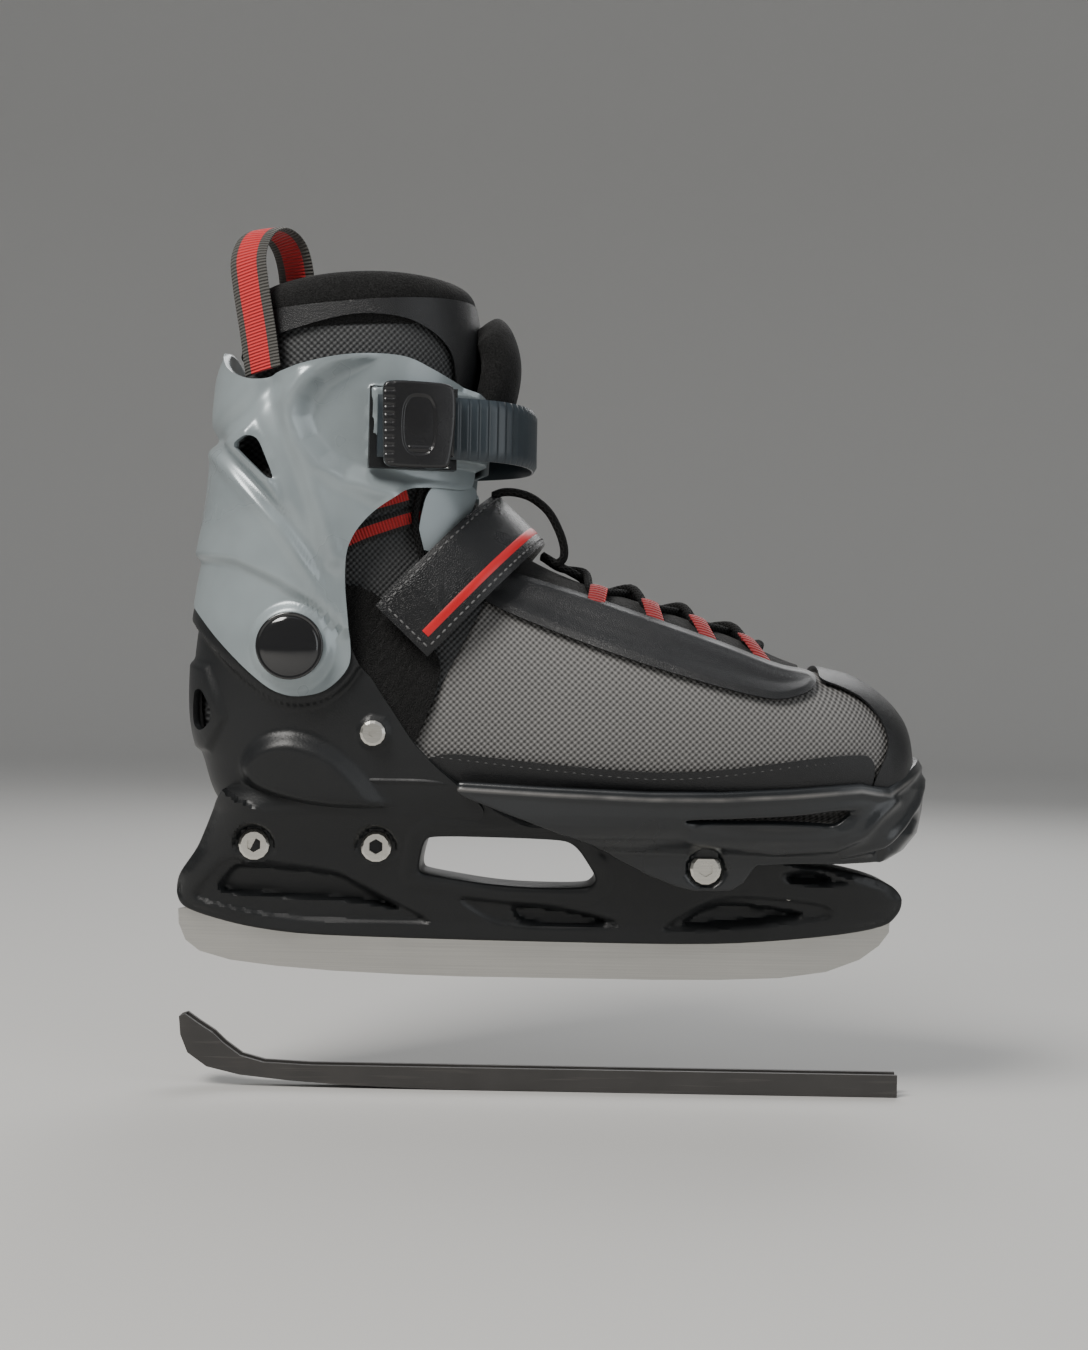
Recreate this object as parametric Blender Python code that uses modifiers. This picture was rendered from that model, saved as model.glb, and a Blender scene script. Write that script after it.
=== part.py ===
"""Adjustable hard-shell ice skate (right foot) with its blade guard.

Frame: +X to the toe, +Z up, +Y to the inner side of the foot. The origin is the middle of the
blade's running edge. Lengths below are millimetres and are turned to metres when meshes are made.
"""
import bpy
import bmesh
from math import cos, sin, pi, radians, hypot
from mathutils import Matrix, Vector

MM = 0.001
GAP = 0.35                       # clearance between touching pieces


SHELL_IN, SHELL_OUT = 0.7, 3.7   # shell layer, measured out from the soft boot
CUFF_IN, CUFF_OUT = 5.0, 8.0     # cuff layer
LINER_WALL = 6.0                 # padded boot wall

BLADE_HALF = 1.5
BOLTS_Z = 51.5
REAR_BOLTS_X = (-105.0, -58.5)
FRONT_BOLT = (66.5, 45.8)
SHELL_SCREW = (-58.7, 95.3)
PIVOT = (-89.0, 127.0)

STRAP_Z = (196.5, 219.5)         # ratchet strap, lower and upper edge

SLIDE_TRAVEL = 20.0              # length adjustment of the toe shell

GUARD_DROP = 39.5                # how far below the blade the guard lies
GUARD_GROOVE = 2.3               # half width of the guard's groove
GUARD_WALL = 2.0

# The soft boot's form: side view points at the sole or back, then at the top or front, then the
# half width. Each pair is one cross-section, from the toe round the heel to the collar.
BOOT_FORM = (
    ((144, 70), (147, 84), 9), ((137, 63), (141, 103), 29), ((121, 61), (124, 117), 39),
    ((98, 61), (100, 123), 44), ((66, 61), (73, 134), 45.5), ((28, 61), (42, 145), 43),
    ((-12, 61), (14, 154), 38), ((-50, 61), (-5, 163), 36), ((-88, 62), (-14, 172), 35.5),
    ((-114, 70), (-21, 181), 35), ((-126, 92), (-25, 190), 35), ((-128, 118), (-27, 199), 35.5),
    ((-124, 150), (-27, 210), 36.5), ((-117, 185), (-26, 224), 38), ((-114, 222), (-24, 243), 40),
    ((-110, 257), (-27, 262), 40),
)

COLORS = {
    "black": (0.012, 0.014, 0.017), "silver": (0.30, 0.33, 0.34), "steel": (0.55, 0.54, 0.51),
    "fabric": (0.11, 0.11, 0.11), "leather": (0.012, 0.012, 0.013), "red": (0.62, 0.015, 0.02),
    "strap": (0.03, 0.045, 0.055), "guard": (0.10, 0.095, 0.09), "felt": (0.01, 0.01, 0.01),
    "nickel": (0.62, 0.60, 0.56),
}

for old in list(bpy.data.objects):
    bpy.data.objects.remove(old)

parts = bpy.data.collections.new("ice_skate")
cutters = bpy.data.collections.new("cutters")
bpy.context.scene.collection.children.link(parts)
bpy.context.scene.collection.children.link(cutters)


def finish(obj, color, roughness=0.5, metallic=0.0):
    """Gives a part its own Principled material."""
    material = bpy.data.materials.new(obj.name)
    material.use_nodes = True
    shader = material.node_tree.nodes["Principled BSDF"]
    shader.inputs["Base Color"].default_value = (*COLORS[color], 1)
    shader.inputs["Roughness"].default_value = roughness
    shader.inputs["Metallic"].default_value = metallic
    obj.data.materials.clear()
    obj.data.materials.append(material)
    return obj


def add_mesh(name, bm, is_cutter=False):
    """Puts a bmesh in millimetres into an object in metres, shaded smooth."""
    bmesh.ops.scale(bm, vec=(MM, MM, MM), verts=bm.verts)
    bmesh.ops.recalc_face_normals(bm, faces=bm.faces)
    mesh = bpy.data.meshes.new(name)
    bm.to_mesh(mesh)
    bm.free()
    mesh.shade_smooth()
    mesh.set_sharp_from_angle(angle=radians(35))
    obj = bpy.data.objects.new(name, mesh)
    if is_cutter:
        cutters.objects.link(obj)
        obj.hide_render = True
        obj.display_type = 'WIRE'
    else:
        parts.objects.link(obj)
    return obj


def smooth(points, steps=3, closed=False):
    """Points on a Catmull-Rom curve through the given points."""
    count = len(points)
    spans = count if closed else count - 1
    result = []
    for i in range(spans):
        around = [points[(i + k) % count] if closed else points[min(max(i + k, 0), count - 1)]
                  for k in (-1, 0, 1, 2)]
        p0, p1, p2, p3 = (Vector(p) for p in around)
        for s in range(steps):
            t = s / steps
            result.append(0.5 * (2 * p1 + (p2 - p0) * t + (2 * p0 - 5 * p1 + 4 * p2 - p3) * t ** 2
                                 + (3 * p1 - p0 - 3 * p2 + p3) * t ** 3))
    if not closed:
        result.append(Vector(points[-1]))
    return result


def arc(center, radius, start, end, steps=6):
    """Points on an arc, angles in degrees."""
    return [(center[0] + radius * cos(radians(start + (end - start) * i / steps)),
             center[1] + radius * sin(radians(start + (end - start) * i / steps)))
            for i in range(steps + 1)]


def offset_path(points, distance):
    """An open path moved sideways by a distance."""
    moved = []
    for i, point in enumerate(points):
        before, after = points[max(i - 1, 0)], points[min(i + 1, len(points) - 1)]
        dx, dy = after[0] - before[0], after[1] - before[1]
        length = hypot(dx, dy)
        moved.append((point[0] - dy / length * distance, point[1] + dx / length * distance))
    return moved


def band_outline(path, thickness):
    """A closed outline of a thin band on one side of a path."""
    return list(path) + list(reversed(offset_path(path, thickness)))


def extrude(name, outline, low, high, axis="Y", place=None, is_cutter=False):
    """A flat outline given a thickness: (X, Z) along Y, (X, Y) along Z, or (Y, Z) along X."""
    curve = bpy.data.curves.new(name, 'CURVE')
    curve.dimensions = '2D'
    curve.fill_mode = 'BOTH'
    curve.extrude = (high - low) / 2
    spline = curve.splines.new('POLY')
    spline.points.add(len(outline) - 1)
    for point, (a, b) in zip(spline.points, outline):
        point.co = (a, b, 0, 1)
    spline.use_cyclic_u = True
    holder = bpy.data.objects.new(name, curve)
    parts.objects.link(holder)
    bpy.context.view_layer.update()
    evaluated = holder.evaluated_get(bpy.context.evaluated_depsgraph_get())
    mesh = bpy.data.meshes.new_from_object(evaluated)
    bpy.data.objects.remove(holder)
    bm = bmesh.new()
    bm.from_mesh(mesh)
    bpy.data.meshes.remove(mesh)
    bmesh.ops.remove_doubles(bm, verts=bm.verts, dist=0.01)
    middle = (low + high) / 2
    turn = {"Y": Matrix.Translation((0, middle, 0)) @ Matrix.Rotation(pi / 2, 4, 'X'),
            "Z": Matrix.Translation((0, 0, middle)),
            "X": Matrix.Translation((middle, 0, 0)) @ Matrix(((0, 0, 1, 0), (1, 0, 0, 0),
                                                             (0, 1, 0, 0), (0, 0, 0, 1)))}[axis]
    bmesh.ops.transform(bm, matrix=(place or Matrix()) @ turn, verts=bm.verts)
    return add_mesh(name, bm, is_cutter)


def form_stations(offset, first=0, last=None, steps=2):
    """The boot form's sections moved out by an offset, with sections between the given ones."""
    rows = [(*a, *b, w) for a, b, w in BOOT_FORM]
    dense = smooth([Vector(row) for row in rows], steps)
    last = len(BOOT_FORM) - 1 if last is None else last
    stations = []
    for row in dense[first * steps:last * steps + 1]:
        low, high, half = Vector(row[0:2]), Vector(row[2:4]), row[4]
        way = (high - low).normalized() * offset
        stations.append((low - way, high + way, half + offset))
    return stations


def form(name, offset, first=0, last=None, points=16, is_cutter=True, rise=0):
    """A closed solid of the boot form, moved out by an offset: a loft of oval sections.

    A rise carries the last section straight up, so that a cutter opens the collar."""
    stations = form_stations(offset, first, last)
    if rise:
        low, high, half = stations[-1]
        stations.append((low + Vector((0, rise)), high + Vector((0, rise)), half))
    if first == 0:
        toe_low, toe_high, half = stations[0]
        ahead = Vector((max(offset, -3.0), 0))
        stations[0] = (toe_low + ahead, toe_high + ahead, half)
    bm = bmesh.new()
    rings = []
    for low, high, half in stations:
        middle, reach = (low + high) / 2, (high - low) / 2
        ring = []
        for k in range(points):
            angle = 2 * pi * k / points
            side, up = cos(angle), sin(angle)
            squareness = 0.72 if up < 0 else 0.9
            side = abs(side) ** squareness * (1 if side > 0 else -1)
            up = abs(up) ** 0.85 * (1 if up > 0 else -1)
            spot = middle + reach * up
            ring.append(bm.verts.new((spot[0], half * side, spot[1])))
        rings.append(ring)
    for ring, following in zip(rings, rings[1:]):
        for k in range(points):
            bm.faces.new((ring[k], ring[(k + 1) % points],
                          following[(k + 1) % points], following[k]))
    bm.faces.new(rings[0])
    bm.faces.new(rings[-1])
    return add_mesh(name, bm, is_cutter)


def combine(obj, other, operation='DIFFERENCE'):
    """Cuts, joins or intersects one object with another."""
    modifier = obj.modifiers.new(operation.title(), 'BOOLEAN')
    modifier.operation = operation
    modifier.solver = 'EXACT'
    modifier.object = other
    return obj


def box(name, low, high, is_cutter=False, rotation=None, bevel=0.0):
    """A box between two corners, with rounded edges if asked."""
    bm = bmesh.new()
    bmesh.ops.create_cube(bm, size=1)
    size = [b - a for a, b in zip(low, high)]
    bmesh.ops.scale(bm, vec=size, verts=bm.verts)
    if bevel:
        bmesh.ops.bevel(bm, geom=bm.edges[:], offset=bevel, segments=2, profile=0.5,
                        affect='EDGES')
    place = Matrix.Translation([(a + b) / 2 for a, b in zip(low, high)])
    bmesh.ops.transform(bm, matrix=place @ (rotation or Matrix()), verts=bm.verts)
    return add_mesh(name, bm, is_cutter)


def cylinder(name, center, radius, length, axis="Y", segments=24, is_cutter=False, radius2=None):
    """A cylinder centred on a point, along Y or Z."""
    bm = bmesh.new()
    bmesh.ops.create_cone(bm, cap_ends=True, segments=segments, radius1=radius,
                          radius2=radius if radius2 is None else radius2, depth=length)
    turn = Matrix.Rotation(pi / 2, 4, 'X') if axis == "Y" else Matrix()
    bmesh.ops.transform(bm, matrix=Matrix.Translation(center) @ turn, verts=bm.verts)
    return add_mesh(name, bm, is_cutter)


def screw(name, x, z, head_y, shank_end_y, head_radius, shank_radius, head_height, socket):
    """A flat-headed screw along Y with a hexagon socket, turned from a stepped profile."""
    outward = 1 if head_y > shank_end_y else -1
    top = abs(head_y - shank_end_y)
    profile = [(0, top), (head_radius - 1, top), (head_radius, top - 0.8),
               (head_radius, top - head_height), (shank_radius, top - head_height),
               (shank_radius, 0), (0, 0)]
    bm = bmesh.new()
    corners = [bm.verts.new((r, 0, h)) for r, h in profile]
    edges = [bm.edges.new(pair) for pair in zip(corners, corners[1:])]
    bmesh.ops.spin(bm, geom=corners + edges, angle=2 * pi, steps=14, axis=(0, 0, 1),
                   cent=(0, 0, 0), use_merge=True)
    bmesh.ops.remove_doubles(bm, verts=bm.verts, dist=0.01)
    turn = Matrix.Translation((x, shank_end_y, z)) @ Matrix.Rotation(-outward * pi / 2, 4, 'X')
    bmesh.ops.transform(bm, matrix=turn, verts=bm.verts)
    obj = add_mesh(name, bm)
    hexagon = cylinder(name + "_socket", (x, head_y, z), socket, 2 * (head_height - 1), segments=6,
                       is_cutter=True)
    return finish(combine(obj, hexagon), "nickel", 0.25, 1.0)


# --- Outlines in the side view (X, Z) -------------------------------------------------------------

HEEL_CUP = [(-128, 139), (-131.5, 123), (-131.6, 108), (-129.2, 94.3), (-126, 83.6), (-121.5, 72),
            (-121.5, 64.4), (-124, 58), (-128, 49), (-135.4, 39), (-137.5, 32.5), (-135, 26.3),
            (-127, 22.9), (-110.7, 18.8), (-93, 16.4), (-76, 15.5), (-20, 14.6), (50, 14.3),
            (77.5, 14.9), (102, 16.9), (127, 20), (139.2, 23), (144, 28.4), (144.8, 33.5),
            (141.5, 38), (133.9, 42), (118, 45.5), (100, 47.2), (88, 52), (80, 57.4), (0, 57.4),
            (-5, 61.8), (-26.3, 76.4), (-34.9, 82.4), (-43.7, 91.4), (-51.3, 103.1),
            (-59.7, 115.3)]
EAR = arc(PIVOT, 21, 0, 180, 8)                        # the ears that carry the cuff's pivots

TOE_SHELL = [(-24, 76.6), (4.7, 75.3), (44, 74.2), (70, 74.6), (96.4, 76.2), (122.5, 79),
             (134, 78), (141, 83), (150, 88), (153.5, 86), (154, 77), (152.5, 67.4), (150, 59.6),
             (145.5, 53.4), (138, 49.8), (118, 48.6), (98, 49), (85, 47.8), (82, 43.5),
             (75.5, 38.6), (62.5, 38.6), (45, 44.5), (24, 54.2), (6, 61.3), (-2, 63.2)]

CUFF = [(-124.5, 245), (-121.5, 246), (-117.7, 237), (-112.3, 227.6), (-105, 225.2),
        (-99.3, 225.9), (-84, 231), (-70, 234.2), (-58, 235.2), (-47, 234.4), (-37, 230),
        (-24, 224.3), (-20, 221), (-19.5, 216), (-21.3, 190.5), (-25, 187.6), (-36.4, 187.4),
        (-48, 186.3), (-55, 181.4), (-61.9, 175.4), (-66.6, 169.4), (-69.5, 162.3),
        (-69.8, 150.5), (-67.8, 133.2), (-66.9, 121.4), (-70.5, 115.5), (-77.4, 109.8),
        (-88, 108), (-96.2, 110.2), (-105.5, 117.1), (-117.5, 128.6), (-128.4, 140.5),
        (-133, 145), (-136, 150), (-136, 158), (-130, 164), (-126, 172), (-125, 186),
        (-128, 198), (-127, 214), (-127, 230)]

CENTRAL_WINDOW = [(-42.8, 42), (-40.3, 53), (-37, 56), (10, 56), (17.5, 54.8), (25, 42),
                  (25.5, 39), (22, 36.2), (-9.5, 36.4), (-37.8, 40.5)]
HOLDER_END = [(5.5, 10), (7.5, 22), (12, 34), (18, 47.3), (20, 56.7), (30, 66), (40, 80),
              (48, 100), (48, 160)]                    # half width against height


def mirrored(profile):
    """A half profile and its mirror image, as one closed outline."""
    return profile + [(-a, b) for a, b in reversed(profile)]


# --- Rear shell: heel cup and blade holder in one moulding ----------------------------------------

rear_side = extrude("rear_shell", HEEL_CUP, -60, 60)
combine(rear_side, extrude("rear_ears", EAR + [(PIVOT[0] - 21, 100), (PIVOT[0] + 21, 100)],
                           -60, 60, is_cutter=True), 'UNION')
combine(rear_side, extrude("holder_taper", mirrored(HOLDER_END), -160, 160, "X", is_cutter=True),
        'INTERSECT')
cup_limit = form("cup_outside", SHELL_OUT, 6, 13)
holder_block = box("holder_limit", (-160, -26, 5), (160, 26, 68), is_cutter=True)
combine(cup_limit, holder_block, 'UNION')
combine(rear_side, cup_limit, 'INTERSECT')
combine(rear_side, form("boot_space", SHELL_IN), 'DIFFERENCE')
combine(rear_side, extrude("central_window", CENTRAL_WINDOW, -40, 40, is_cutter=True))
combine(rear_side, box("blade_slot", (-150, -BLADE_HALF - GAP, 0),
                       (150, BLADE_HALF + GAP, 30), is_cutter=True))
combine(rear_side, box("rear_tab_slot", (-118, -BLADE_HALF - GAP, 28),
                       (-46, BLADE_HALF + GAP, 58), is_cutter=True))
combine(rear_side, box("front_tab_slot", (86, -BLADE_HALF - GAP, 28),
                       (114, BLADE_HALF + GAP, 42), is_cutter=True))
for x in REAR_BOLTS_X:
    combine(rear_side, cylinder("bolt_hole", (x, 0, BOLTS_Z), 3.4, 80, is_cutter=True))
    for side in (-1, 1):
        combine(rear_side, cylinder("bolt_seat", (x, side * 26.5, BOLTS_Z), 6.6, 19,
                                    is_cutter=True))
combine(rear_side, box("slide_slot", (FRONT_BOLT[0] - 4, -60, FRONT_BOLT[1] - 3.6),
                       (FRONT_BOLT[0] + SLIDE_TRAVEL + 4, 60, FRONT_BOLT[1] + 3.6),
                       is_cutter=True))
combine(rear_side, cylinder("pin_hole", (100, 0, 35), 2.5, 60, is_cutter=True, segments=16))
combine(rear_side, cylinder("pivot_hole", (PIVOT[0], 0, PIVOT[1]), 5.4, 120, is_cutter=True))
combine(rear_side, cylinder("screw_hole", (SHELL_SCREW[0], 0, SHELL_SCREW[1]), 2.4, 120,
                            is_cutter=True, segments=16))
finish(rear_side, "black", 0.45)

# --- Toe shell ------------------------------------------------------------------------------------

toe_shell = extrude("toe_shell", TOE_SHELL, -60, 60)
skirt_profile = [(23.8, 30), (26, 44.3), (30, 48.3), (40, 58), (49, 66), (52, 72), (52, 95)]
combine(toe_shell, extrude("skirt_taper", mirrored(skirt_profile), -160, 160, "X",
                           is_cutter=True), 'INTERSECT')
toe_plan = smooth([(-30, 41), (10, 44.5), (50, 48.5), (80, 50), (108, 48), (130, 40), (146, 25),
                   (153.5, 8)], 2)
combine(toe_shell, extrude("toe_plan", [tuple(p) for p in toe_plan]
                           + [(p[0], -p[1]) for p in reversed(toe_plan)], 30, 100, "Z",
                           is_cutter=True), 'INTERSECT')
combine(toe_shell, bpy.data.objects["boot_space"])
skirt_inside = [(20.4, 20), (21.6, 43.2), (26, 49.5), (36, 57.9)]
combine(toe_shell, extrude("skirt_inside", mirrored(skirt_inside), -45, 140, "X",
                           is_cutter=True))
combine(toe_shell, extrude("heel_clearance", [(-60, 120), (-60, 20), (-2, 20), (-2, 62.0),
                                              (-23, 77), (-28, 84)], -80, 80, is_cutter=True))
for side in (-1, 1):
    combine(toe_shell, box("side_slot", (57, side * 50 - 12, 64.5), (112, side * 50 + 12, 68),
                           is_cutter=True))
combine(toe_shell, cylinder("slide_bolt_hole", (FRONT_BOLT[0], 0, FRONT_BOLT[1]), 3.05, 120,
                            is_cutter=True))
for side in (-1, 1):
    combine(toe_shell, cylinder("slide_bolt_seat", (FRONT_BOLT[0], side * 35.2, FRONT_BOLT[1]),
                                6.5, 20, is_cutter=True))
finish(toe_shell, "black", 0.38)

# --- Cuff -----------------------------------------------------------------------------------------

cuff = extrude("cuff", CUFF, -70, 70)
combine(cuff, form("cuff_outside", CUFF_OUT, 5, 15, points=20), 'INTERSECT')
combine(cuff, form("cuff_inside", CUFF_IN, 4, None, points=20))
combine(cuff, box("cuff_front_opening", (-58, -24, 100), (40, 24, 260), is_cutter=True))
combine(cuff, cylinder("cuff_pivot_hole", (PIVOT[0], 0, PIVOT[1]), 6.3, 120, is_cutter=True))
finish(cuff, "silver", 0.35, 0.2)


# --- Blade ----------------------------------------------------------------------------------------

BLADE = [(-136.5, 24.5), (-136.2, 19), (-133.5, 12.5), (-128, 8.3), (-116, 5.0), (-98, 2.9),
         (-76, 1.4), (-48, 0.4), (-25, 0), (50, 0), (75, 0.4), (98, 1.5), (116, 4.2), (129, 9.2),
         (136.5, 14.8), (140.3, 20), (140.5, 24), (139, 26.5), (113, 27.5), (113, 41), (87.5, 41),
         (87.5, 27.5), (-47, 27.5), (-47, 57), (-69, 57), (-72, 29.5), (-94, 29.5), (-97, 57),
         (-116, 57), (-117, 27.5)]
blade = extrude("blade", BLADE, -BLADE_HALF, BLADE_HALF)
for x in REAR_BOLTS_X:
    combine(blade, cylinder("blade_hole", (x, 0, BOLTS_Z), 3.4, 20, is_cutter=True))
combine(blade, cylinder("blade_pin_hole", (100, 0, 35), 2.5, 20, is_cutter=True, segments=16))
finish(blade, "steel", 0.32, 1.0)
finish(cylinder("blade_front_pin", (100, 0, 35), 2.2, 22, segments=16), "nickel", 0.3, 1.0)

# --- Blade bolts and their sleeve nuts ------------------------------------------------------------

BOLT_SITES = (("rear", REAR_BOLTS_X[0], BOLTS_Z, 17.8), ("middle", REAR_BOLTS_X[1], BOLTS_Z, 17.8))
for label, x, z, face in BOLT_SITES:
    screw(label + "_blade_bolt", x, z, -face - 2.2, 5, 5.9, 3.0, 2.6, 2.9)
    nut = cylinder(label + "_blade_nut", (x, face + 0.95, z), 5.9, 2.6)
    combine(nut, cylinder(label + "_nut_barrel", (x, 12.5, z), 3.0, 14, is_cutter=True), 'UNION')
    finish(nut, "nickel", 0.3, 1.0)
slide_bolt = screw("toe_slide_bolt", *FRONT_BOLT, -27.8, 5, 5.9, 2.7, 2.2, 2.9)
combine(slide_bolt, box("bolt_flat", (FRONT_BOLT[0] - 8, -34, FRONT_BOLT[1] + 3.9),
                        (FRONT_BOLT[0] + 8, -25, FRONT_BOLT[1] + 9), is_cutter=True))
slide_nut = cylinder("toe_slide_nut", (FRONT_BOLT[0], 26.7, FRONT_BOLT[1]), 5.9, 2.2)
combine(slide_nut, cylinder("slide_nut_barrel", (FRONT_BOLT[0], 16, FRONT_BOLT[1]), 2.7, 21,
                            is_cutter=True), 'UNION')
finish(slide_nut, "nickel", 0.3, 1.0)

# --- Cuff pivots ----------------------------------------------------------------------------------

for label, side in (("outer", -1), ("inner", 1)):
    sleeve = cylinder(label + "_pivot_sleeve", (PIVOT[0], side * 42.2, PIVOT[1]), 5.0, 11.6)
    combine(sleeve, cylinder(label + "_sleeve_flange", (PIVOT[0], side * 47.4, PIVOT[1]), 11, 1.6,
                             is_cutter=True), 'UNION')
    finish(sleeve, "nickel", 0.35, 1.0)
    cap = cylinder(label + "_pivot_cap", (PIVOT[0], side * 49.9, PIVOT[1]), 12.4, 2.6)
    rim = cap.modifiers.new("Rim", 'BEVEL')
    rim.width, rim.segments = 1.1 * MM, 2
    finish(cap, "black", 0.08)
    screw(label + "_shell_screw", *SHELL_SCREW, side * 42.6, side * 36.6, 4.7, 2.0, 2.0, 1.6)

# --- Soft boot, footbed and tongue ----------------------------------------------------------------


def soft_boot(name, side_outline):
    """A stretch of the padded boot: the boot form inside a side outline, hollow inside."""
    piece = extrude(name, side_outline, -60, 60)
    combine(piece, bpy.data.objects["boot_outside"], 'INTERSECT')
    combine(piece, bpy.data.objects["boot_inside"])
    return finish(piece, "fabric", 0.9)


boot_outside = form("boot_outside", 0)
form("footbed_limit", -LINER_WALL - GAP)
boot_inside = form("boot_inside", -LINER_WALL, rise=30)
soft_boot("front_boot", [(-11.4, 40), (170, 40), (170, 200), (13, 200), (-4, 120), (-4, 78.4),
                         (-11.4, 78.4)])
soft_boot("heel_boot", [(-150, 40), (-12, 40), (-12, 79), (-4.6, 79), (-4.6, 120), (3.5, 163), (-8, 172),
                        (-60, 150), (-104, 150), (-150, 158)])
ankle_boot = soft_boot("ankle_boot", [(-150, 163), (-104, 155), (-60, 157), (-16, 184),
                                      (20, 200), (20, 300), (-150, 300)])
combine(ankle_boot, box("tongue_room", (-36, -20, 150), (40, 20, 300), is_cutter=True))
for name, start, end in (("footbed_toe", -3.7, 150), ("footbed_heel", -150, -4.9)):
    bed = box(name, (start, -60, 67.6), (end, 60, 71.6))
    combine(bed, bpy.data.objects["footbed_limit"], 'INTERSECT')
    finish(bed, "felt", 0.95)

tongue_path = smooth([(-20, 200), (-16, 214), (-9, 232), (-7, 245), (-12, 256), (-20, 262)], 3)
tongue = extrude("tongue", band_outline([tuple(p) for p in tongue_path], 8), -19.4, 19.4)
finish(tongue, "felt", 0.95)

# --- Ankle buckle, on the outer side of the cuff --------------------------------------------------

# The buckle has its own frame: the pin at its origin, X forward along the strap, -Y outward.
BUCKLE = Matrix.Translation((-33, -48.5, 0)) @ Matrix.Rotation(radians(12), 4, 'Z')
CHEEKS = ((193.4, 195.6), (220.4, 222.6))


def buckle_point(x, y):
    """A point of the buckle's frame as world X and Y."""
    spot = BUCKLE @ Vector((x, y, 0))
    return spot.x, spot.y


def in_buckle(name, low, high, is_cutter=False, bevel=0.0):
    """A box given in the buckle's frame."""
    obj = box(name, low, high, is_cutter, bevel=bevel)
    obj.data.transform(Matrix.Scale(MM, 4) @ BUCKLE @ Matrix.Scale(1 / MM, 4))
    return obj


def buckle_rod(name, x, y, radius, low, high, is_cutter=False, segments=20):
    """An upright cylinder given in the buckle's frame."""
    spot = buckle_point(x, y)
    return cylinder(name, (*spot, (low + high) / 2), radius, high - low, "Z", segments, is_cutter)


base = in_buckle("buckle_base", (-27.5, 6.0, 193.0), (5, 12.5, 223.0))
for low, high in CHEEKS:
    combine(base, in_buckle("cheek", (-17.5, -1.9, low), (1.9, 11, high), is_cutter=True), 'UNION')
combine(base, form("buckle_seat", CUFF_OUT + GAP, 5, 15, points=20))
for x, y, radius in ((0, 0, 1.2), (-14, -0.4, 1.0)):
    combine(base, buckle_rod("base_pin_hole", x, y, radius + GAP, 180, 240, is_cutter=True))
finish(base, "black", 0.4)
finish(buckle_rod("lever_pin", 0, 0, 1.2, 193.0, 223.0), "nickel", 0.3, 1.0)
finish(buckle_rod("pawl_pin", -14, -0.4, 1.0, 193.0, 223.0, segments=16), "nickel", 0.3, 1.0)

lever = in_buckle("buckle_lever", (-26, -6.6, 192.0), (2.6, -2.95, 224.0))
combine(lever, buckle_rod("lever_barrel", 0, 0, 2.9, 197, 219, is_cutter=True), 'UNION')
combine(lever, in_buckle("lever_web", (-2.2, -3.2, 197), (2.2, -0.5, 219), is_cutter=True),
        'UNION')
combine(lever, buckle_rod("lever_bore", 0, 0, 1.2 + GAP, 180, 240, is_cutter=True))
combine(lever, in_buckle("lever_panel", (-17, -8, 197), (-5, -5.8, 219), is_cutter=True))
finish(lever, "black", 0.4)

pawl = in_buckle("strap_pawl", (-17, -1.9, 197), (-6.2, 1.4, 219))
combine(pawl, in_buckle("pawl_tooth", (-8.6, 1.0, 197.5), (-6.3, 3.0, 218.5), is_cutter=True),
        'UNION')
combine(pawl, buckle_rod("pawl_bore", -14, -0.4, 1.0 + GAP, 180, 240, is_cutter=True,
                         segments=16))
finish(pawl, "steel", 0.4, 1.0)

strap_path = [buckle_point(-25, 3.5), buckle_point(-12, 3.5), buckle_point(0, 3.5),
              buckle_point(8, 4.4), (-14, -36.5), (-6, -25), (-2.4, -12), (-1.6, 0), (-2.4, 11),
              (-7, 23), (-16, 32), (-28, 39.6), (-40, 44.4), (-52, 47.4), (-64, 49.2)]
strap_line = [tuple(p) for p in smooth(strap_path, 3)]
ratchet = extrude("ratchet_strap", band_outline(strap_line, 2.0), *STRAP_Z, "Z")
combine(ratchet, cylinder("strap_hole", (-58, 45, 208), 2.6, 30, is_cutter=True))
combine(bpy.data.objects["cuff"], cylinder("strap_screw_hole", (-58, 45, 208), 2.6, 30,
                                           is_cutter=True))
finish(ratchet, "strap", 0.45)
screw("strap_screw", -58, 208, 52.0, 39.6, 5.5, 2.2, 2.0, 2.2)

# --- Instep strap ---------------------------------------------------------------------------------

INSTEP_AT = Vector((-47.2, 0, 134.7))
INSTEP_UP = Vector((0.689, 0, 0.725))                    # the way the strap climbs the instep
INSTEP_ACROSS = Vector((-0.725, 0, 0.689))
instep_place = Matrix.Translation(INSTEP_AT) @ Matrix((
    (INSTEP_UP.x, 0, INSTEP_ACROSS.x, 0), (0, 1, 0, 0), (INSTEP_UP.z, 0, INSTEP_ACROSS.z, 0),
    (0, 0, 0, 1)))
instep_side = smooth([(-2, -43.0), (14, -43), (30, -40), (42, -34), (52, -24), (58, -11),
                      (59.5, 0)], 3)
instep_path = [tuple(p) for p in instep_side] + [(p[0], -p[1]) for p in
                                                 reversed(instep_side[:-1])]
finish(extrude("instep_strap", band_outline(instep_path, -2.4), -13.7, 13.7, "Z", instep_place),
       "leather", 0.5)

# --- Pull loop ------------------------------------------------------------------------------------

LOOP_TURN = radians(56.5)
loop_place = Matrix.Translation((-105, -32, 0)) @ Matrix.Rotation(LOOP_TURN, 4, 'Z')
loop_path = smooth([(-3, 231.5), (-3, 245), (-3.5, 260), (-3, 272), (2, 281), (9, 283.5),
                    (16, 279), (20.5, 268), (22, 255), (22.5, 240)], 2)
loop = extrude("pull_loop", band_outline([tuple(p) for p in loop_path], 1.8), -8.7, 8.7)
loop.data.transform(Matrix.Scale(MM, 4) @ loop_place @ Matrix.Scale(1 / MM, 4))
finish(loop, "red", 0.8)

# --- Laces ----------------------------------------------------------------------------------------

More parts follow.
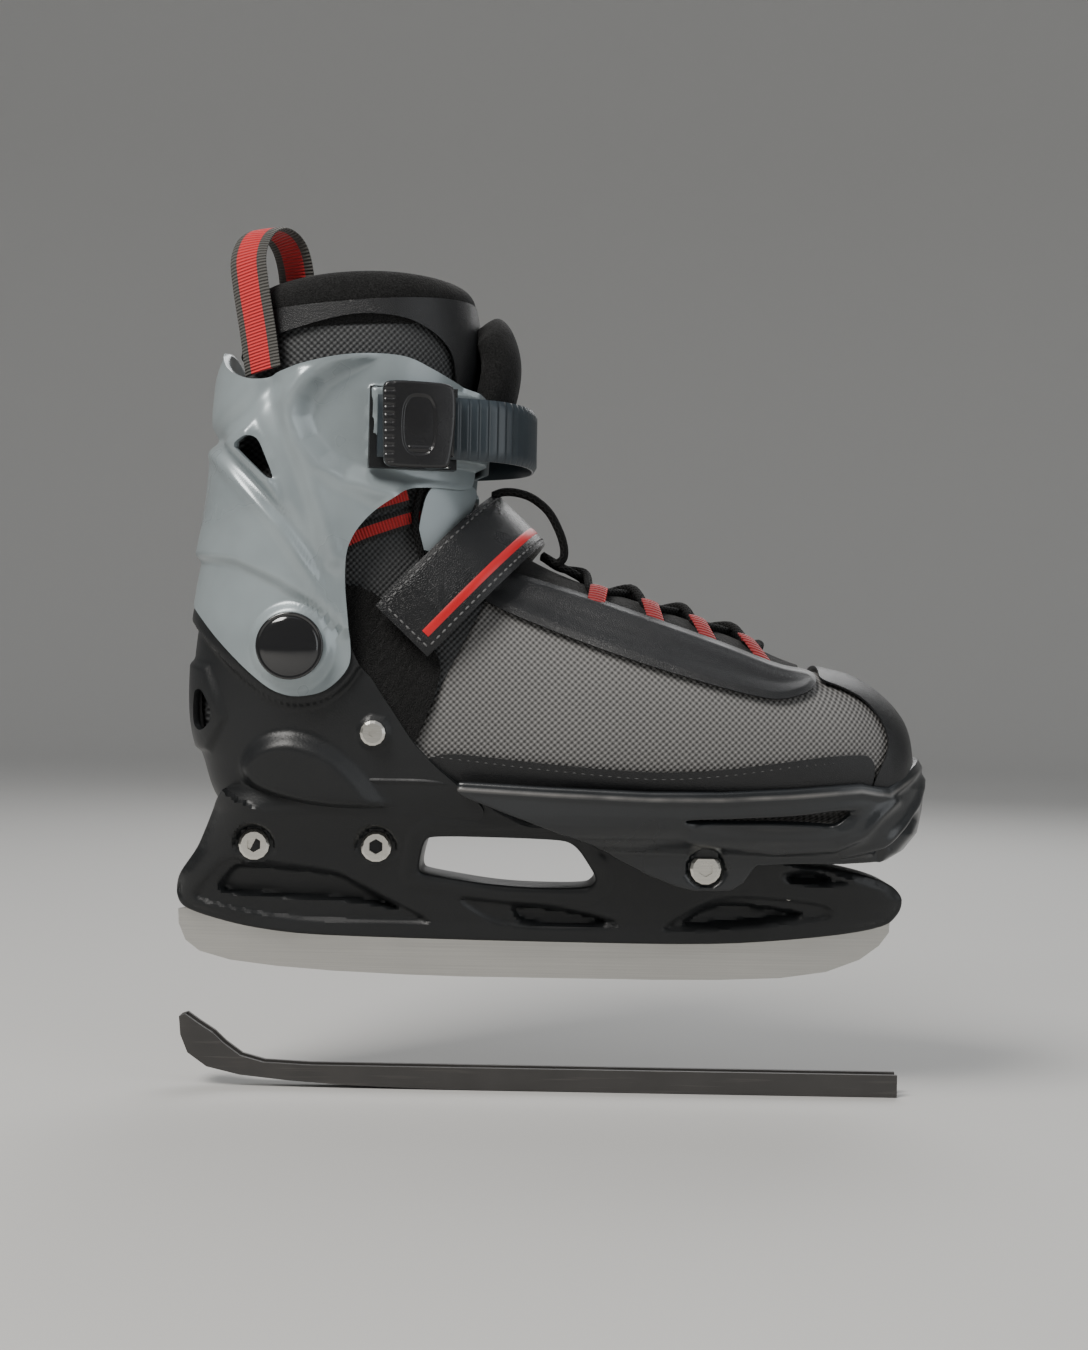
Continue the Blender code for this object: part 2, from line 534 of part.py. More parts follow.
LACE_RADIUS = 1.6


def boot_top(x, y, lift):
    """The point of the boot's top over the foot at X and Y, lifted clear of it."""
    stations = form_stations(0, 0, 9, steps=6)
    for (low, high, half), (low2, high2, half2) in zip(stations, stations[1:]):
        if high2.x <= x <= high.x:
            t = (high.x - x) / (high.x - high2.x)
            low, high, half = low.lerp(low2, t), high.lerp(high2, t), half + (half2 - half) * t
            side = min(abs(y) / half, 0.99) ** (1 / 0.9)
            up = (1 - side * side) ** (0.85 / 2)
            spot = (low + high) / 2 + (high - low) / 2 * up
            out = (high - low).normalized() * lift
            return spot.x + out.x, y, spot.y + out.y
    return x, y, 0


def tube(name, points, radius, sides=2):
    """A round cord along points, as a mesh with welded caps."""
    curve = bpy.data.curves.new(name, 'CURVE')
    curve.dimensions = '3D'
    curve.bevel_depth = radius
    curve.bevel_resolution = sides
    curve.use_fill_caps = True
    spline = curve.splines.new('POLY')
    spline.points.add(len(points) - 1)
    for point, spot in zip(spline.points, points):
        point.co = (*spot, 1)
    holder = bpy.data.objects.new(name, curve)
    parts.objects.link(holder)
    bpy.context.view_layer.update()
    mesh = bpy.data.meshes.new_from_object(
        holder.evaluated_get(bpy.context.evaluated_depsgraph_get()))
    bpy.data.objects.remove(holder)
    bm = bmesh.new()
    bm.from_mesh(mesh)
    bmesh.ops.remove_doubles(bm, verts=bm.verts, dist=0.01)
    return add_mesh(name, bm)


LACE_ROWS = (86, 66, 47, 26)                       # X of each pair of lace loops
lace_points = []
for row, x in enumerate(LACE_ROWS):
    side = 1 if row % 2 else -1
    lace_points += [boot_top(x, side * 15, 3.6), boot_top(x - 3, side * 16.5, 3.6),
                    boot_top(x - 10, 0, 4.2)]
lace_points += [boot_top(9, 6, 4.6), boot_top(0, 4, 6.0)]
finish(tube("lace", smooth(lace_points, 3), LACE_RADIUS), "felt", 0.9)

LACE_LOOP = [(-12.5, -12, 187.8), (-7, -12, 187.6), (-1, -12, 185.5), (5, -12.3, 180.5),
             (9, -12.7, 173.5), (11, -13, 167.5), (11, -13.2, 163), (9, -12.8, 161),
             (7.5, -12.2, 160.9)]
finish(tube("lace_loop", smooth(LACE_LOOP, 3), LACE_RADIUS), "felt", 0.9)

for side, label in ((-1, "outer"), (1, "inner")):
    for row, x in enumerate(LACE_ROWS):
        spot = boot_top(x - 1.5, side * 22.0, 2.4)
        loop = box(label + "_lace_loop_" + str(row + 1), (-3, -3.0, -1.2), (3, 3.0, 1.2))
        tilt = Matrix.Rotation(-side * radians(14), 4, 'X') @ Matrix.Rotation(radians(20), 4, 'Y')
        loop.data.transform(Matrix.Scale(MM, 4) @ Matrix.Translation(spot) @ tilt
                            @ Matrix.Scale(1 / MM, 4))
        finish(loop, "red", 0.8)

# --- Length adjustment: release button and its spring ---------------------------------------------

BUTTON = (42.0, 37.5)
rear_shell = bpy.data.objects["rear_shell"]
combine(rear_shell, cylinder("button_bore", (BUTTON[0], 13, BUTTON[1]), 4.6, 20, is_cutter=True))
finish(cylinder("release_button", (BUTTON[0], 11.8, BUTTON[1]), 4.2, 9), "red", 0.4)
spring_points = [(BUTTON[0] + 3 * cos(a * pi / 6), 3.6 + 0.07 * a, BUTTON[1] + 3 * sin(a * pi / 6))
                 for a in range(17)]
finish(tube("button_spring", spring_points, 0.3), "steel", 0.3, 1.0)

# --- Blade guard ----------------------------------------------------------------------------------

GUARD_SLIDE = (-6.0, 40.9)                          # X and Z from where it lies to the blade
GUARD = [(-141, 24), (-140.4, 17), (-137.5, 10), (-130, 4.7), (-117, 1.7), (-98, -0.2),
         (-76, -1.6), (-48, -2.4), (-25, -2.7), (138, -2.7), (138, 5.8), (-90, 5.8),
         (-108, 6.6), (-117, 9), (-123.6, 13.7), (-128, 17.8), (-134, 21.6), (-138.6, 24.8)]
GROOVE = [(-138.9, 60), (-138.9, 19), (-136, 11.4), (-130, 7.2), (-117, 4.3), (-98, 2.2),
          (-76, 0.8), (-48, -0.2), (-25, -0.5), (150, -0.5), (150, 60)]


def laid(outline):
    """A guard outline moved from the blade to where the guard lies."""
    return [(x - GUARD_SLIDE[0], z - GUARD_SLIDE[1]) for x, z in outline]


guard = extrude("blade_guard", laid(GUARD), -GUARD_GROOVE - GUARD_WALL, GUARD_GROOVE + GUARD_WALL)
combine(guard, extrude("guard_groove", laid(GROOVE), -GUARD_GROOVE, GUARD_GROOVE, is_cutter=True))
finish(guard, "guard", 0.5)
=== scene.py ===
"""Looks of an adjustable hard-shell ice skate and its blade guard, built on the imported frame."""
import bmesh
import bpy
import numpy as np
from mathutils import Matrix, Vector


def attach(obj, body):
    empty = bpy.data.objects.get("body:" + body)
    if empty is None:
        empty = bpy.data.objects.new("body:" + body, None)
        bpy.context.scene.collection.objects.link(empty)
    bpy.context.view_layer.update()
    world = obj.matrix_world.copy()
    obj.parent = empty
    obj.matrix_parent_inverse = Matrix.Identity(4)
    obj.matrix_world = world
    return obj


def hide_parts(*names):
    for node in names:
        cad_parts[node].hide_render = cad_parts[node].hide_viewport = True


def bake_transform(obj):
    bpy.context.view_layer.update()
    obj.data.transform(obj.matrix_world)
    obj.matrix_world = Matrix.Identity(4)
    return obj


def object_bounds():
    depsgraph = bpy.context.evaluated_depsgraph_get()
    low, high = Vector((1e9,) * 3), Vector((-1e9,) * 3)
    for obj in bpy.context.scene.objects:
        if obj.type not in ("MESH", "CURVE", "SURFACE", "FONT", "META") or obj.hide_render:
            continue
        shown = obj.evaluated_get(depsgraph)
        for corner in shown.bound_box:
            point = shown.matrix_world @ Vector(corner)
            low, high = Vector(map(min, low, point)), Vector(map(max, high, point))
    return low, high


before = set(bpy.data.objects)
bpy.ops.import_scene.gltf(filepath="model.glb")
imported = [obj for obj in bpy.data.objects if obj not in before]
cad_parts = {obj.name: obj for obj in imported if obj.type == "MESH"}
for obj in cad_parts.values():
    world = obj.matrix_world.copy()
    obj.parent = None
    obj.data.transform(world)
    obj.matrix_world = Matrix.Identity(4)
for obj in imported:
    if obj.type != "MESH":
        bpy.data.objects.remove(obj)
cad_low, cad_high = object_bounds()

MM = 0.001

# --- Camera ---------------------------------------------------------------------------------------
# The skate is seen square on from its outer side, as it would be on a bench, from arm's length.
# The picture leans one degree, so the blade runs slightly downhill to the toe.
EYE_DISTANCE, EYE_X, EYE_Z, LEAN = 0.80, 0.0043, 0.1179, np.radians(1.0)
camera = bpy.data.objects.new("camera", bpy.data.cameras.new("camera"))
bpy.context.scene.collection.objects.link(camera)
camera.data.lens = 54.7
camera.data.clip_start = 0.01
camera.matrix_world = Matrix(((np.cos(LEAN), -np.sin(LEAN), 0, EYE_X),
                              (0, 0, -1, -EYE_DISTANCE),
                              (np.sin(LEAN), np.cos(LEAN), 0, EYE_Z),
                              (0, 0, 0, 1)))
bpy.context.scene.camera = camera

# --- Free loop of the lace ------------------------------------------------------------------------
# A round braided lace of 3.2 mm, tied in a bow under the instep strap. One loop of the bow comes
# out above the strap, bows forward over it and goes back in under the lacing.


def smooth_path(points, steps):
    """Catmull-Rom curve: each span blends four neighbouring points with cubic weights."""
    p = np.asarray(points, float)
    p = np.vstack([2 * p[0] - p[1], p, 2 * p[-1] - p[-2]])
    t = np.arange(steps) / steps
    w = 0.5 * np.stack([-t + 2 * t**2 - t**3, 2 - 5 * t**2 + 3 * t**3,
                        t + 4 * t**2 - 3 * t**3, -t**2 + t**3], 1)
    spans = np.stack([p[:-3], p[1:-2], p[2:-1], p[3:]], 1)
    dense = np.einsum("sk,nkd->nsd", w, spans).reshape(-1, p.shape[1])
    return np.vstack([dense, p[-2]])


def unit(vectors):
    """Vectors scaled to a length of one."""
    return vectors / np.linalg.norm(vectors, axis=-1, keepdims=True)


def run_along(path):
    """How far each point of a path lies from its start, measured along it."""
    return np.concatenate([[0], np.cumsum(np.linalg.norm(np.diff(path, axis=0), axis=1))])


def grid_faces(rows, columns, wrap=False):
    """Quads between neighbouring rows and columns of a grid of points, wrapped round or not."""
    r = np.arange(rows - 1)[:, None]
    c = np.arange(columns if wrap else columns - 1)[None, :]
    n = (c + 1) % columns
    return np.stack([r * columns + c, r * columns + n,
                     (r + 1) * columns + n, (r + 1) * columns + c], -1).reshape(-1, 4)


def set_uv(mesh, layer, uv):
    """Writes one UV for each point of a mesh to all of its corners."""
    index = np.empty(len(mesh.loops), int)
    mesh.loops.foreach_get("vertex_index", index)
    layer.data.foreach_set("uv", np.asarray(uv)[index].ravel())


def stands_for(obj, slot, *nodes):
    """Hides the solids that a piece takes the place of. Its material slot is not used."""
    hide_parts(*nodes)


def new_piece(name, points, faces, body, material=None, uv=None):
    """A smooth-shaded mesh of points in millimetres that rides on a body of the frame."""
    mesh = bpy.data.meshes.new(name)
    mesh.from_pydata((np.asarray(points) * MM).tolist(), [], np.asarray(faces).tolist()
                     if isinstance(faces, np.ndarray) else faces)
    if uv is not None:
        set_uv(mesh, mesh.uv_layers.new(name="UVMap"), uv)
    mesh.shade_smooth()
    obj = bpy.data.objects.new(name, mesh)
    bpy.context.scene.collection.objects.link(obj)
    if material:
        mesh.materials.append(material)
    if body:
        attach(obj, body)
    return obj


def tube(name, path, radius, body, material, sides=12):
    """A round cord: a circle carried along a path, its frame turned the least from point to point.

    The last rings close to a point. U runs along in millimetres, V once round."""
    path = np.asarray(path, float)
    radius = np.broadcast_to(radius, len(path)).astype(float)
    ahead = unit(np.gradient(path, axis=0))
    side = np.cross(ahead, [0.0, 0.0, 1.0])
    side[np.linalg.norm(side, axis=1) < 1e-3] = [0, 1, 0]
    side = unit(side)
    for i in range(1, len(side)):
        side[i] = unit(side[i - 1] - ahead[i] * (side[i - 1] @ ahead[i]))
    other = np.cross(ahead, side)
    around = np.linspace(0, 2 * np.pi, sides, endpoint=False)
    spokes = (np.cos(around)[None, :, None] * side[:, None]
              + np.sin(around)[None, :, None] * other[:, None])
    rings = path[:, None] + radius[:, None, None] * spokes
    run = run_along(path)
    points = np.vstack([rings.reshape(-1, 3), path[0] - ahead[0] * radius[0] * 0.4,
                        path[-1] + ahead[-1] * radius[-1] * 0.4])
    faces = [tuple(f) for f in grid_faces(len(path), sides, wrap=True)]
    last = len(path) * sides
    faces += [(last, (k + 1) % sides, k) for k in range(sides)]
    faces += [(last + 1, last - sides + k, last - sides + (k + 1) % sides) for k in range(sides)]
    uv = np.stack([np.repeat(run, sides), np.tile(around / (2 * np.pi), len(path))], 1)
    uv = np.vstack([uv, [[0, 0], [run[-1], 0]]])
    return new_piece(name, points, faces, body, material, uv)


def make_group(name, inputs, outputs, build):
    """A shader node group with named sockets; build joins its nodes and returns its results."""
    tree = bpy.data.node_groups.new(name, "ShaderNodeTree")
    for label, kind, value in inputs:
        made = tree.interface.new_socket(label, in_out="INPUT", socket_type="NodeSocket" + kind)
        if value is not None:
            made.default_value = value
    for label, kind in outputs:
        tree.interface.new_socket(label, in_out="OUTPUT", socket_type="NodeSocket" + kind)
    group_in, group_out = tree.nodes.new("NodeGroupInput"), tree.nodes.new("NodeGroupOutput")
    for (label, _), result in zip(outputs, build(tree, group_in.outputs)):
        tree.links.new(result, group_out.inputs[label])
    return tree


def add_node(tree, kind, settings=(), **inputs):
    """Adds a node, sets its options, and sets or links its inputs by name or number."""
    made = tree.nodes.new("ShaderNode" + kind)
    for key, value in dict(settings).items():
        setattr(made, key, value)
    for key, value in inputs.items():
        socket = made.inputs[int(key[1:]) if key[0] == "i" and key[1:].isdigit()
                             else key.replace("_", " ")]
        if isinstance(value, bpy.types.NodeSocket):
            tree.links.new(value, socket)
        else:
            socket.default_value = value
    return made


def math_node(tree, operation, a, b=0.0):
    """One Math node's result."""
    return add_node(tree, "Math", {"operation": operation}, i0=a, i1=b).outputs[0]


def new_material(name, color, roughness, metallic=0.0, **shader_values):
    """A material with its Principled shader; constants go on the shader's own sockets."""
    material = bpy.data.materials.new(name)
    material.use_nodes = True
    tree = material.node_tree
    shader = tree.nodes["Principled BSDF"]
    shader.inputs["Base Color"].default_value = (*color, 1)
    shader.inputs["Roughness"].default_value = roughness
    shader.inputs["Metallic"].default_value = metallic
    for key, value in shader_values.items():
        shader.inputs[key.replace("_", " ")].default_value = value
    return material, tree, shader


def use_group(tree, group, **inputs):
    """Places a node group in a material with its own values."""
    made = tree.nodes.new("ShaderNodeGroup")
    made.node_tree = group
    for key, value in inputs.items():
        socket = made.inputs[key.replace("_", " ")]
        if isinstance(value, bpy.types.NodeSocket):
            tree.links.new(value, socket)
        else:
            socket.default_value = value
    return made


def bump(tree, shader, height, distance, strength=1.0):
    """Feeds a height times a distance in metres into the shader's normal."""
    made = add_node(tree, "Bump", Height=height, Distance=distance, Strength=strength)
    tree.links.new(made.outputs[0], shader.inputs["Normal"])


def shades(tree, value, low, high, dark, light):
    """Two colours, one at a low value and one at a high value, and a blend between them."""
    made = add_node(tree, "ValToRGB", i0=value)
    for element, position, color in zip(made.color_ramp.elements, (low, high), (dark, light)):
        element.position, element.color = position, (*color, 1)
    return made.outputs[0]


def dimmed(color, factor):
    """A colour made darker or lighter, up to full white."""
    return tuple(min(c * factor, 1) for c in color)


def build_braid(tree, given):
    """Braid: two sets of slanted ridges along U, crossed; its gaps get painted shade."""
    uv = add_node(tree, "UVMap").outputs[0]
    split = add_node(tree, "SeparateXYZ", i0=uv)
    along = math_node(tree, "MULTIPLY", split.outputs[0], given["Pitch"])
    turns = math_node(tree, "MULTIPLY", split.outputs[1], 6 * 2 * np.pi)
    one = math_node(tree, "SINE", math_node(tree, "ADD", along, turns))
    two = math_node(tree, "SINE", math_node(tree, "SUBTRACT", along, turns))
    return [math_node(tree, "MAXIMUM", one, two)]


braid = make_group("braid", [("Pitch", "Float", 3.0)], [("Height", "Float")], build_braid)


def lace_material(name, color):
    """Braided polyester lace with a soft nap, and painted shade and highlight from its braid."""
    material, tree, shader = new_material(name, color, 0.85, Specular_IOR_Level=0.2)
    threads = use_group(tree, braid, Pitch=2.4)
    # Painted shade in the braid's gaps and painted highlight on its ridges, from the braid's
    # height.
    shade = shades(tree, threads.outputs["Height"], 0.2, 1.0, dimmed(color, 0.35),
                   dimmed(color, 1.3))
    tree.links.new(shade, shader.inputs["Base Color"])
    bump(tree, shader, threads.outputs["Height"], 0.0003)
    return material


LACE_WIDTH = 3.2
lace_black = lace_material("lace_black", (0.012, 0.012, 0.012))
LACE_LOOP = [(-16.5, -12, 186.4), (-12.5, -12, 187.8), (-7, -12, 187.6), (-1, -12, 185.5),
             (5, -12.3, 180.5), (9, -12.7, 173.5), (11, -13, 167.5), (11, -13.2, 163),
             (9, -12.8, 161), (7.5, -12.2, 160.9)]
loop_path = smooth_path(LACE_LOOP, 6)
bow_loop = tube("bow_loop", loop_path, LACE_WIDTH / 2, "toe", lace_black)
stands_for(bow_loop, "lace_cord", "lace_loop")

# --- Floor and light ------------------------------------------------------------------------------
# A pale floor that curves up into a wall far behind on all sides, and three soft lamps.


def turned(name, profile, turns, body, material):
    """A profile of radius and height, turned round the Z axis."""
    profile = np.asarray(profile, float)
    angle = np.linspace(0, 2 * np.pi, turns, endpoint=False)
    points = np.stack([profile[:, None, 0] * np.cos(angle), profile[:, None, 0] * np.sin(angle),
                       np.broadcast_to(profile[:, None, 1], (len(profile), turns))], -1)
    return new_piece(name, points.reshape(-1, 3), grid_faces(len(profile), turns, True), body,
                     material)


floor_level = cad_low[2] / MM
rise = np.linspace(0, np.pi / 2, 16)
FLAT_REACH, CURVE, WALL_TOP = 3000, 1500, 4500     # radii and height of the studio
floor_profile = [(0.01, 0)] + [(FLAT_REACH + CURVE * np.sin(a), CURVE - CURVE * np.cos(a))
                               for a in rise]
floor_profile = np.array(floor_profile + [(FLAT_REACH + CURVE, WALL_TOP)])
floor_profile += [0, floor_level - 0.2]
pale, _, _ = new_material("pale_floor", (0.55, 0.545, 0.53), 0.75)
floor = turned("floor", floor_profile, 64, None, pale)


def lamp(name, place, aim, size, power, color=(1, 1, 1)):
    """A square soft light that points at a spot."""
    light = bpy.data.lights.new(name, "AREA")
    light.shape, light.size, light.energy, light.color = "SQUARE", size, power, color
    obj = bpy.data.objects.new(name, light)
    bpy.context.scene.collection.objects.link(obj)
    obj.location = place
    obj.rotation_euler = (Vector(aim) - Vector(place)).to_track_quat("-Z", "Y").to_euler()


lamp("key", (-0.7, -0.9, 1.3), (0, 0, 0.12), 0.7, 30, (1.0, 0.97, 0.93))
lamp("fill", (1.3, -1.0, 0.5), (0, 0, 0.1), 1.2, 7, (0.94, 0.97, 1.0))
lamp("rim", (0.3, 1.2, 1.1), (0, 0, 0.12), 1.0, 10)
world = bpy.data.worlds.new("studio")
bpy.context.scene.world = world
world.use_nodes = True
backdrop = world.node_tree.nodes["Background"]
backdrop.inputs["Color"].default_value = (0.85, 0.87, 0.9, 1)
backdrop.inputs["Strength"].default_value = 0.55

# --- Soft boot ------------------------------------------------------------------------------------
# One padded boot of dotted grey nylon over foam. It is drawn as cross-sections from the toe round
# the heel to the collar; every shell and strap is laid on the same form, moved out by its layer.

BOOT_FORM = np.array([  # sole or back (X, Z), top or front (X, Z), half width
    (144, 70, 147, 84, 9), (137, 63, 141, 103, 29), (121, 61, 124, 117, 39),
    (98, 61, 100, 123, 44), (66, 61, 73, 134, 45.5), (28, 61, 42, 145, 43),
    (-12, 61, 14, 154, 38), (-50, 61, -5, 163, 36), (-88, 62, -14, 172, 35.5),
    (-114, 70, -21, 181, 35), (-126, 92, -25, 190, 35), (-128, 118, -27, 199, 35.5),
    (-124, 150, -27, 210, 36.5), (-117, 185, -26, 224, 38), (-114, 222, -24, 243, 40),
    (-110, 257, -27, 262, 40)], float)
SECTIONS = 12                                      # finer sections to each given one
dense_form = smooth_path(BOOT_FORM, SECTIONS)


def form_rows(offset, first=0.0, last=15.0, count=None):
    """Sections between two of the given ones, moved out by an offset in their own plane. With a
    count they are spaced evenly, each a straight blend of its two neighbours."""
    if count is None:
        rows = dense_form[int(first * SECTIONS):int(last * SECTIONS) + 1]
    else:
        at = np.linspace(first, last, count) * SECTIONS
        rows = np.stack([np.interp(at, np.arange(len(dense_form)), column)
                         for column in dense_form.T], 1)
    low, high, half = rows[:, 0:2], rows[:, 2:4], rows[:, 4]
    way = unit(high - low)
    offset = np.broadcast_to(offset, len(rows))[:, None]
    return low - way * offset, high + way * offset, half + offset[:, 0]


def form_grid(offset, first=0.0, last=15.0, around=96, count=None):
    """Points on the form: each section is an oval, squarer at the sole than over the top."""
    low, high, half = form_rows(offset, first, last, count)
    angle = np.linspace(0, 2 * np.pi, around, endpoint=False)
    side, up = np.cos(angle), np.sin(angle)
    side = np.sign(side) * np.abs(side) ** np.where(up < 0, 0.72, 0.9)
    up = np.sign(up) * np.abs(up) ** 0.85
    middle, reach = (low + high) / 2, (high - low) / 2
    flat = middle[:, None] + reach[:, None] * up[None, :, None]
    return np.stack([flat[..., 0], half[:, None] * side[None], flat[..., 1]], -1)


def form_depth(x, z, offset=0.0):
    """Half width of the form at a spot of the side view: find the section through it, then the
    oval's width at that height. Zero outside the form."""
    shape = np.shape(x)
    x, z = np.ravel(x).astype(float), np.ravel(z).astype(float)
    low, high, half = form_rows(offset)
    way = high - low
    ahead = np.stack([x, z], 1)[:, None] - low[None]
    cross = ahead[..., 0] * way[None, :, 1] - ahead[..., 1] * way[None, :, 0]
    share = (ahead * way[None]).sum(-1) / (way ** 2).sum(-1)[None]
    crossing = (cross[:, :-1] * cross[:, 1:] <= 0) & (np.abs(share[:, :-1] - 0.5) < 0.56)
    found = crossing.any(1)
    j = crossing.argmax(1)
    i = np.arange(len(x))
    gap = cross[i, j] - cross[i, j + 1]
    f = np.where(np.abs(gap) > 1e-9, cross[i, j] / np.where(np.abs(gap) > 1e-9, gap, 1), 0)
    t = share[i, j] * (1 - f) + share[i, j + 1] * f
    width = half[j] * (1 - f) + half[j + 1] * f
    up = np.clip(2 * t - 1, -1, 1)
    cosine = np.sqrt(np.clip(1 - np.abs(up) ** (2 / 0.85), 0, 1))
    depth = width * cosine ** np.where(up < 0, 0.72, 0.9)
    return np.where(found, depth, 0).reshape(shape)


def normals_of(grid, wrap=True):
    """Unit normals of a grid of points, pointing away from the grid's inside."""
    along = np.gradient(grid, axis=0)
    if wrap:
        across = (np.roll(grid, -1, 1) - np.roll(grid, 1, 1)) / 2
    else:
        across = np.gradient(grid, axis=1)
    normal = np.cross(across, along)
    length = np.linalg.norm(normal, axis=-1, keepdims=True)
    return normal / np.where(length < 1e-9, 1, length)


def place_of(tree):
    """Each spot's place on its own object."""
    return add_node(tree, "TexCoord").outputs["Object"]


def noise(tree, place, scale, detail):
    """Smooth random noise, from 0 to 1."""
    return add_node(tree, "TexNoise", Vector=place, Scale=scale, Detail=detail).outputs[0]


def build_weave(tree, given):
    """Dotted weave: raised round dots in offset rows on the side view, dark threads between."""
    place = place_of(tree)
    split = add_node(tree, "SeparateXYZ", i0=place)
    pitch = given["Dots per metre"]
    turn = 2 * np.pi
    flat = math_node(tree, "ADD", split.outputs[0], math_node(tree, "MULTIPLY",
                                                              split.outputs[1], 0.35))
    u = math_node(tree, "MULTIPLY", math_node(tree, "MULTIPLY", flat, pitch), turn)
    v = math_node(tree, "MULTIPLY", math_node(tree, "MULTIPLY", split.outputs[2], pitch), turn)
    wave = math_node(tree, "MULTIPLY", math_node(tree, "COSINE", u), math_node(tree, "COSINE", v))
    dots = math_node(tree, "MULTIPLY_ADD", wave, 0.5)
    dots.node.inputs[2].default_value = 0.5
    fibres = noise(tree, place, 2600.0, 2.0)
    height = math_node(tree, "ADD", dots, math_node(tree, "MULTIPLY", fibres, 0.35))
    color = add_node(tree, "Mix", {"data_type": "RGBA"}, i0=dots,
                     i6=given["Threads"], i7=given["Dots"])
    return color.outputs[2], height


weave = make_group("dotted_weave",
                   [("Dots per metre", "Float", 420.0), ("Threads", "Color", (0.02, 0.02, 0.02, 1)),
                    ("Dots", "Color", (0.2, 0.2, 0.2, 1))],
                   [("Color", "Color"), ("Height", "Float")], build_weave)


def weave_material(name, threads, dots, density=420.0):
    """Nylon cloth with dots, dull between them and a little bright on them."""
    material, tree, shader = new_material(name, dots, 0.55, Specular_IOR_Level=0.3)
    cloth = use_group(tree, weave, Dots_per_metre=density, Threads=(*threads, 1), Dots=(*dots, 1))
    tree.links.new(cloth.outputs["Color"], shader.inputs["Base Color"])
    bump(tree, shader, cloth.outputs["Height"], 0.0004)
    return material


dotted_grey = weave_material("dotted_grey", (0.035, 0.034, 0.033), (0.25, 0.245, 0.24))
dotted_dark = weave_material("dotted_dark", (0.010, 0.010, 0.011), (0.075, 0.078, 0.08))

PAD = 5.5                                          # thickness of the padded wall


def weld(obj, distance=1e-6):
    """Joins points that lie on one spot and drops the faces that this closes up."""
    mesh = bmesh.new()
    mesh.from_mesh(obj.data)
    bmesh.ops.remove_doubles(mesh, verts=mesh.verts, dist=distance)
    bmesh.ops.dissolve_degenerate(mesh, edges=mesh.edges, dist=1e-7)
    mesh.to_mesh(obj.data)
    mesh.free()
    obj.data.shade_smooth()


def open_shell(name, grid, body, material, thickness):
    """A wrapped grid with a wall laid inward by Solidify. A first row at one point is welded."""
    faces = grid_faces(*grid.shape[:2], wrap=True)
    obj = new_piece(name, grid.reshape(-1, 3), faces[:, ::-1], body, material)
    weld(obj)
    wall = obj.modifiers.new("wall", "SOLIDIFY")
    wall.thickness, wall.offset = thickness * MM, -1
    return obj


def stretch_front(obj):
    """Bakes a piece's place into its points; the front does not stretch with the sliding toe here.
    """
    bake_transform(obj)


def bend_ankle(obj):
    """Bakes a piece's place into its points; the upper part does not lean with the cuff here."""
    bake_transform(obj)


FRONT_LAST, ANKLE_FIRST = 7.25, 7.0                # sections where the boot's two halves meet
front_grid = form_grid(0.0, 0.0, FRONT_LAST)
toe_point = front_grid[0].mean(0) + [1.5, 0, 0]
closing = np.array([toe_point + (front_grid[0] - toe_point) * s + [(1 - s * s) * 1.5, 0, 0]
                    for s in (0.0, 0.5, 0.85)])
front_grid = np.concatenate([closing, front_grid[1:]])
boot_front = open_shell("boot_vamp", front_grid, None, dotted_grey, PAD)
stretch_front(boot_front)
stands_for(boot_front, "boot_fabric", "front_boot", "heel_boot")
boot_ankle = open_shell("boot_ankle", form_grid(-0.15, ANKLE_FIRST, 15), None, dotted_dark, PAD)
bend_ankle(boot_ankle)
stands_for(boot_ankle, "boot_fabric", "ankle_boot")

# --- Cuff -----------------------------------------------------------------------------------------
# The tall back of the skate: one moulding of satin silver-grey plastic, 3 mm thick, wrapped round
# the ankle and hung on the two pivots. Its walls are folded into crests and hollows for stiffness,
# with a pod that frames the buckle and a small triangular window.


def nearest_on(path, spots, closed=True):
    """Distance from each spot to a chain of straight runs: the least over the runs."""
    path = np.asarray(path, float)
    starts = path if closed else path[:-1]
    steps = (np.roll(path, -1, 0) if closed else path[1:]) - starts
    best = np.full(len(spots), np.inf)
    for start, step in zip(starts, steps):
        t = np.clip(((spots - start) @ step) / max(step @ step, 1e-12), 0, 1)
        best = np.minimum(best, np.linalg.norm(spots - start - t[:, None] * step, axis=1))
    return best


def depth_inside(path, spots):
    """Distance to a closed outline, positive inside it and negative outside."""
    path = np.asarray(path, float)
    crossings = np.zeros(len(spots), int)
    for a, b in zip(path, np.roll(path, -1, 0)):
        between = (a[1] > spots[:, 1]) != (b[1] > spots[:, 1])
        level = a[0] + (spots[:, 1] - a[1]) * (b[0] - a[0]) / ((b[1] - a[1]) or 1e-12)
        crossings += between & (spots[:, 0] < level)
    return np.where(crossings % 2, 1, -1) * nearest_on(path, spots)


def rounded(outline, cut=0.22):
    """A closed outline with its corners cut off three times: each run keeps its middle part."""
    p = np.asarray(outline, float)
    for _ in range(3):
        ahead = np.roll(p, -1, 0)
        p = np.stack([p + (ahead - p) * cut, ahead - (ahead - p) * cut], 1).reshape(-1, 2)
    return p


def ramp(value, width):
    """A smooth step from 0 to 1 as value goes from 0 to width."""
    t = np.clip(value / width, 0, 1)
    return t * t * (3 - 2 * t)


def fold(spots, path, width):
    """A soft ridge along an open path: a bell curve of the distance to it."""
    return np.exp(-(nearest_on(path, spots, closed=False) / width) ** 2)


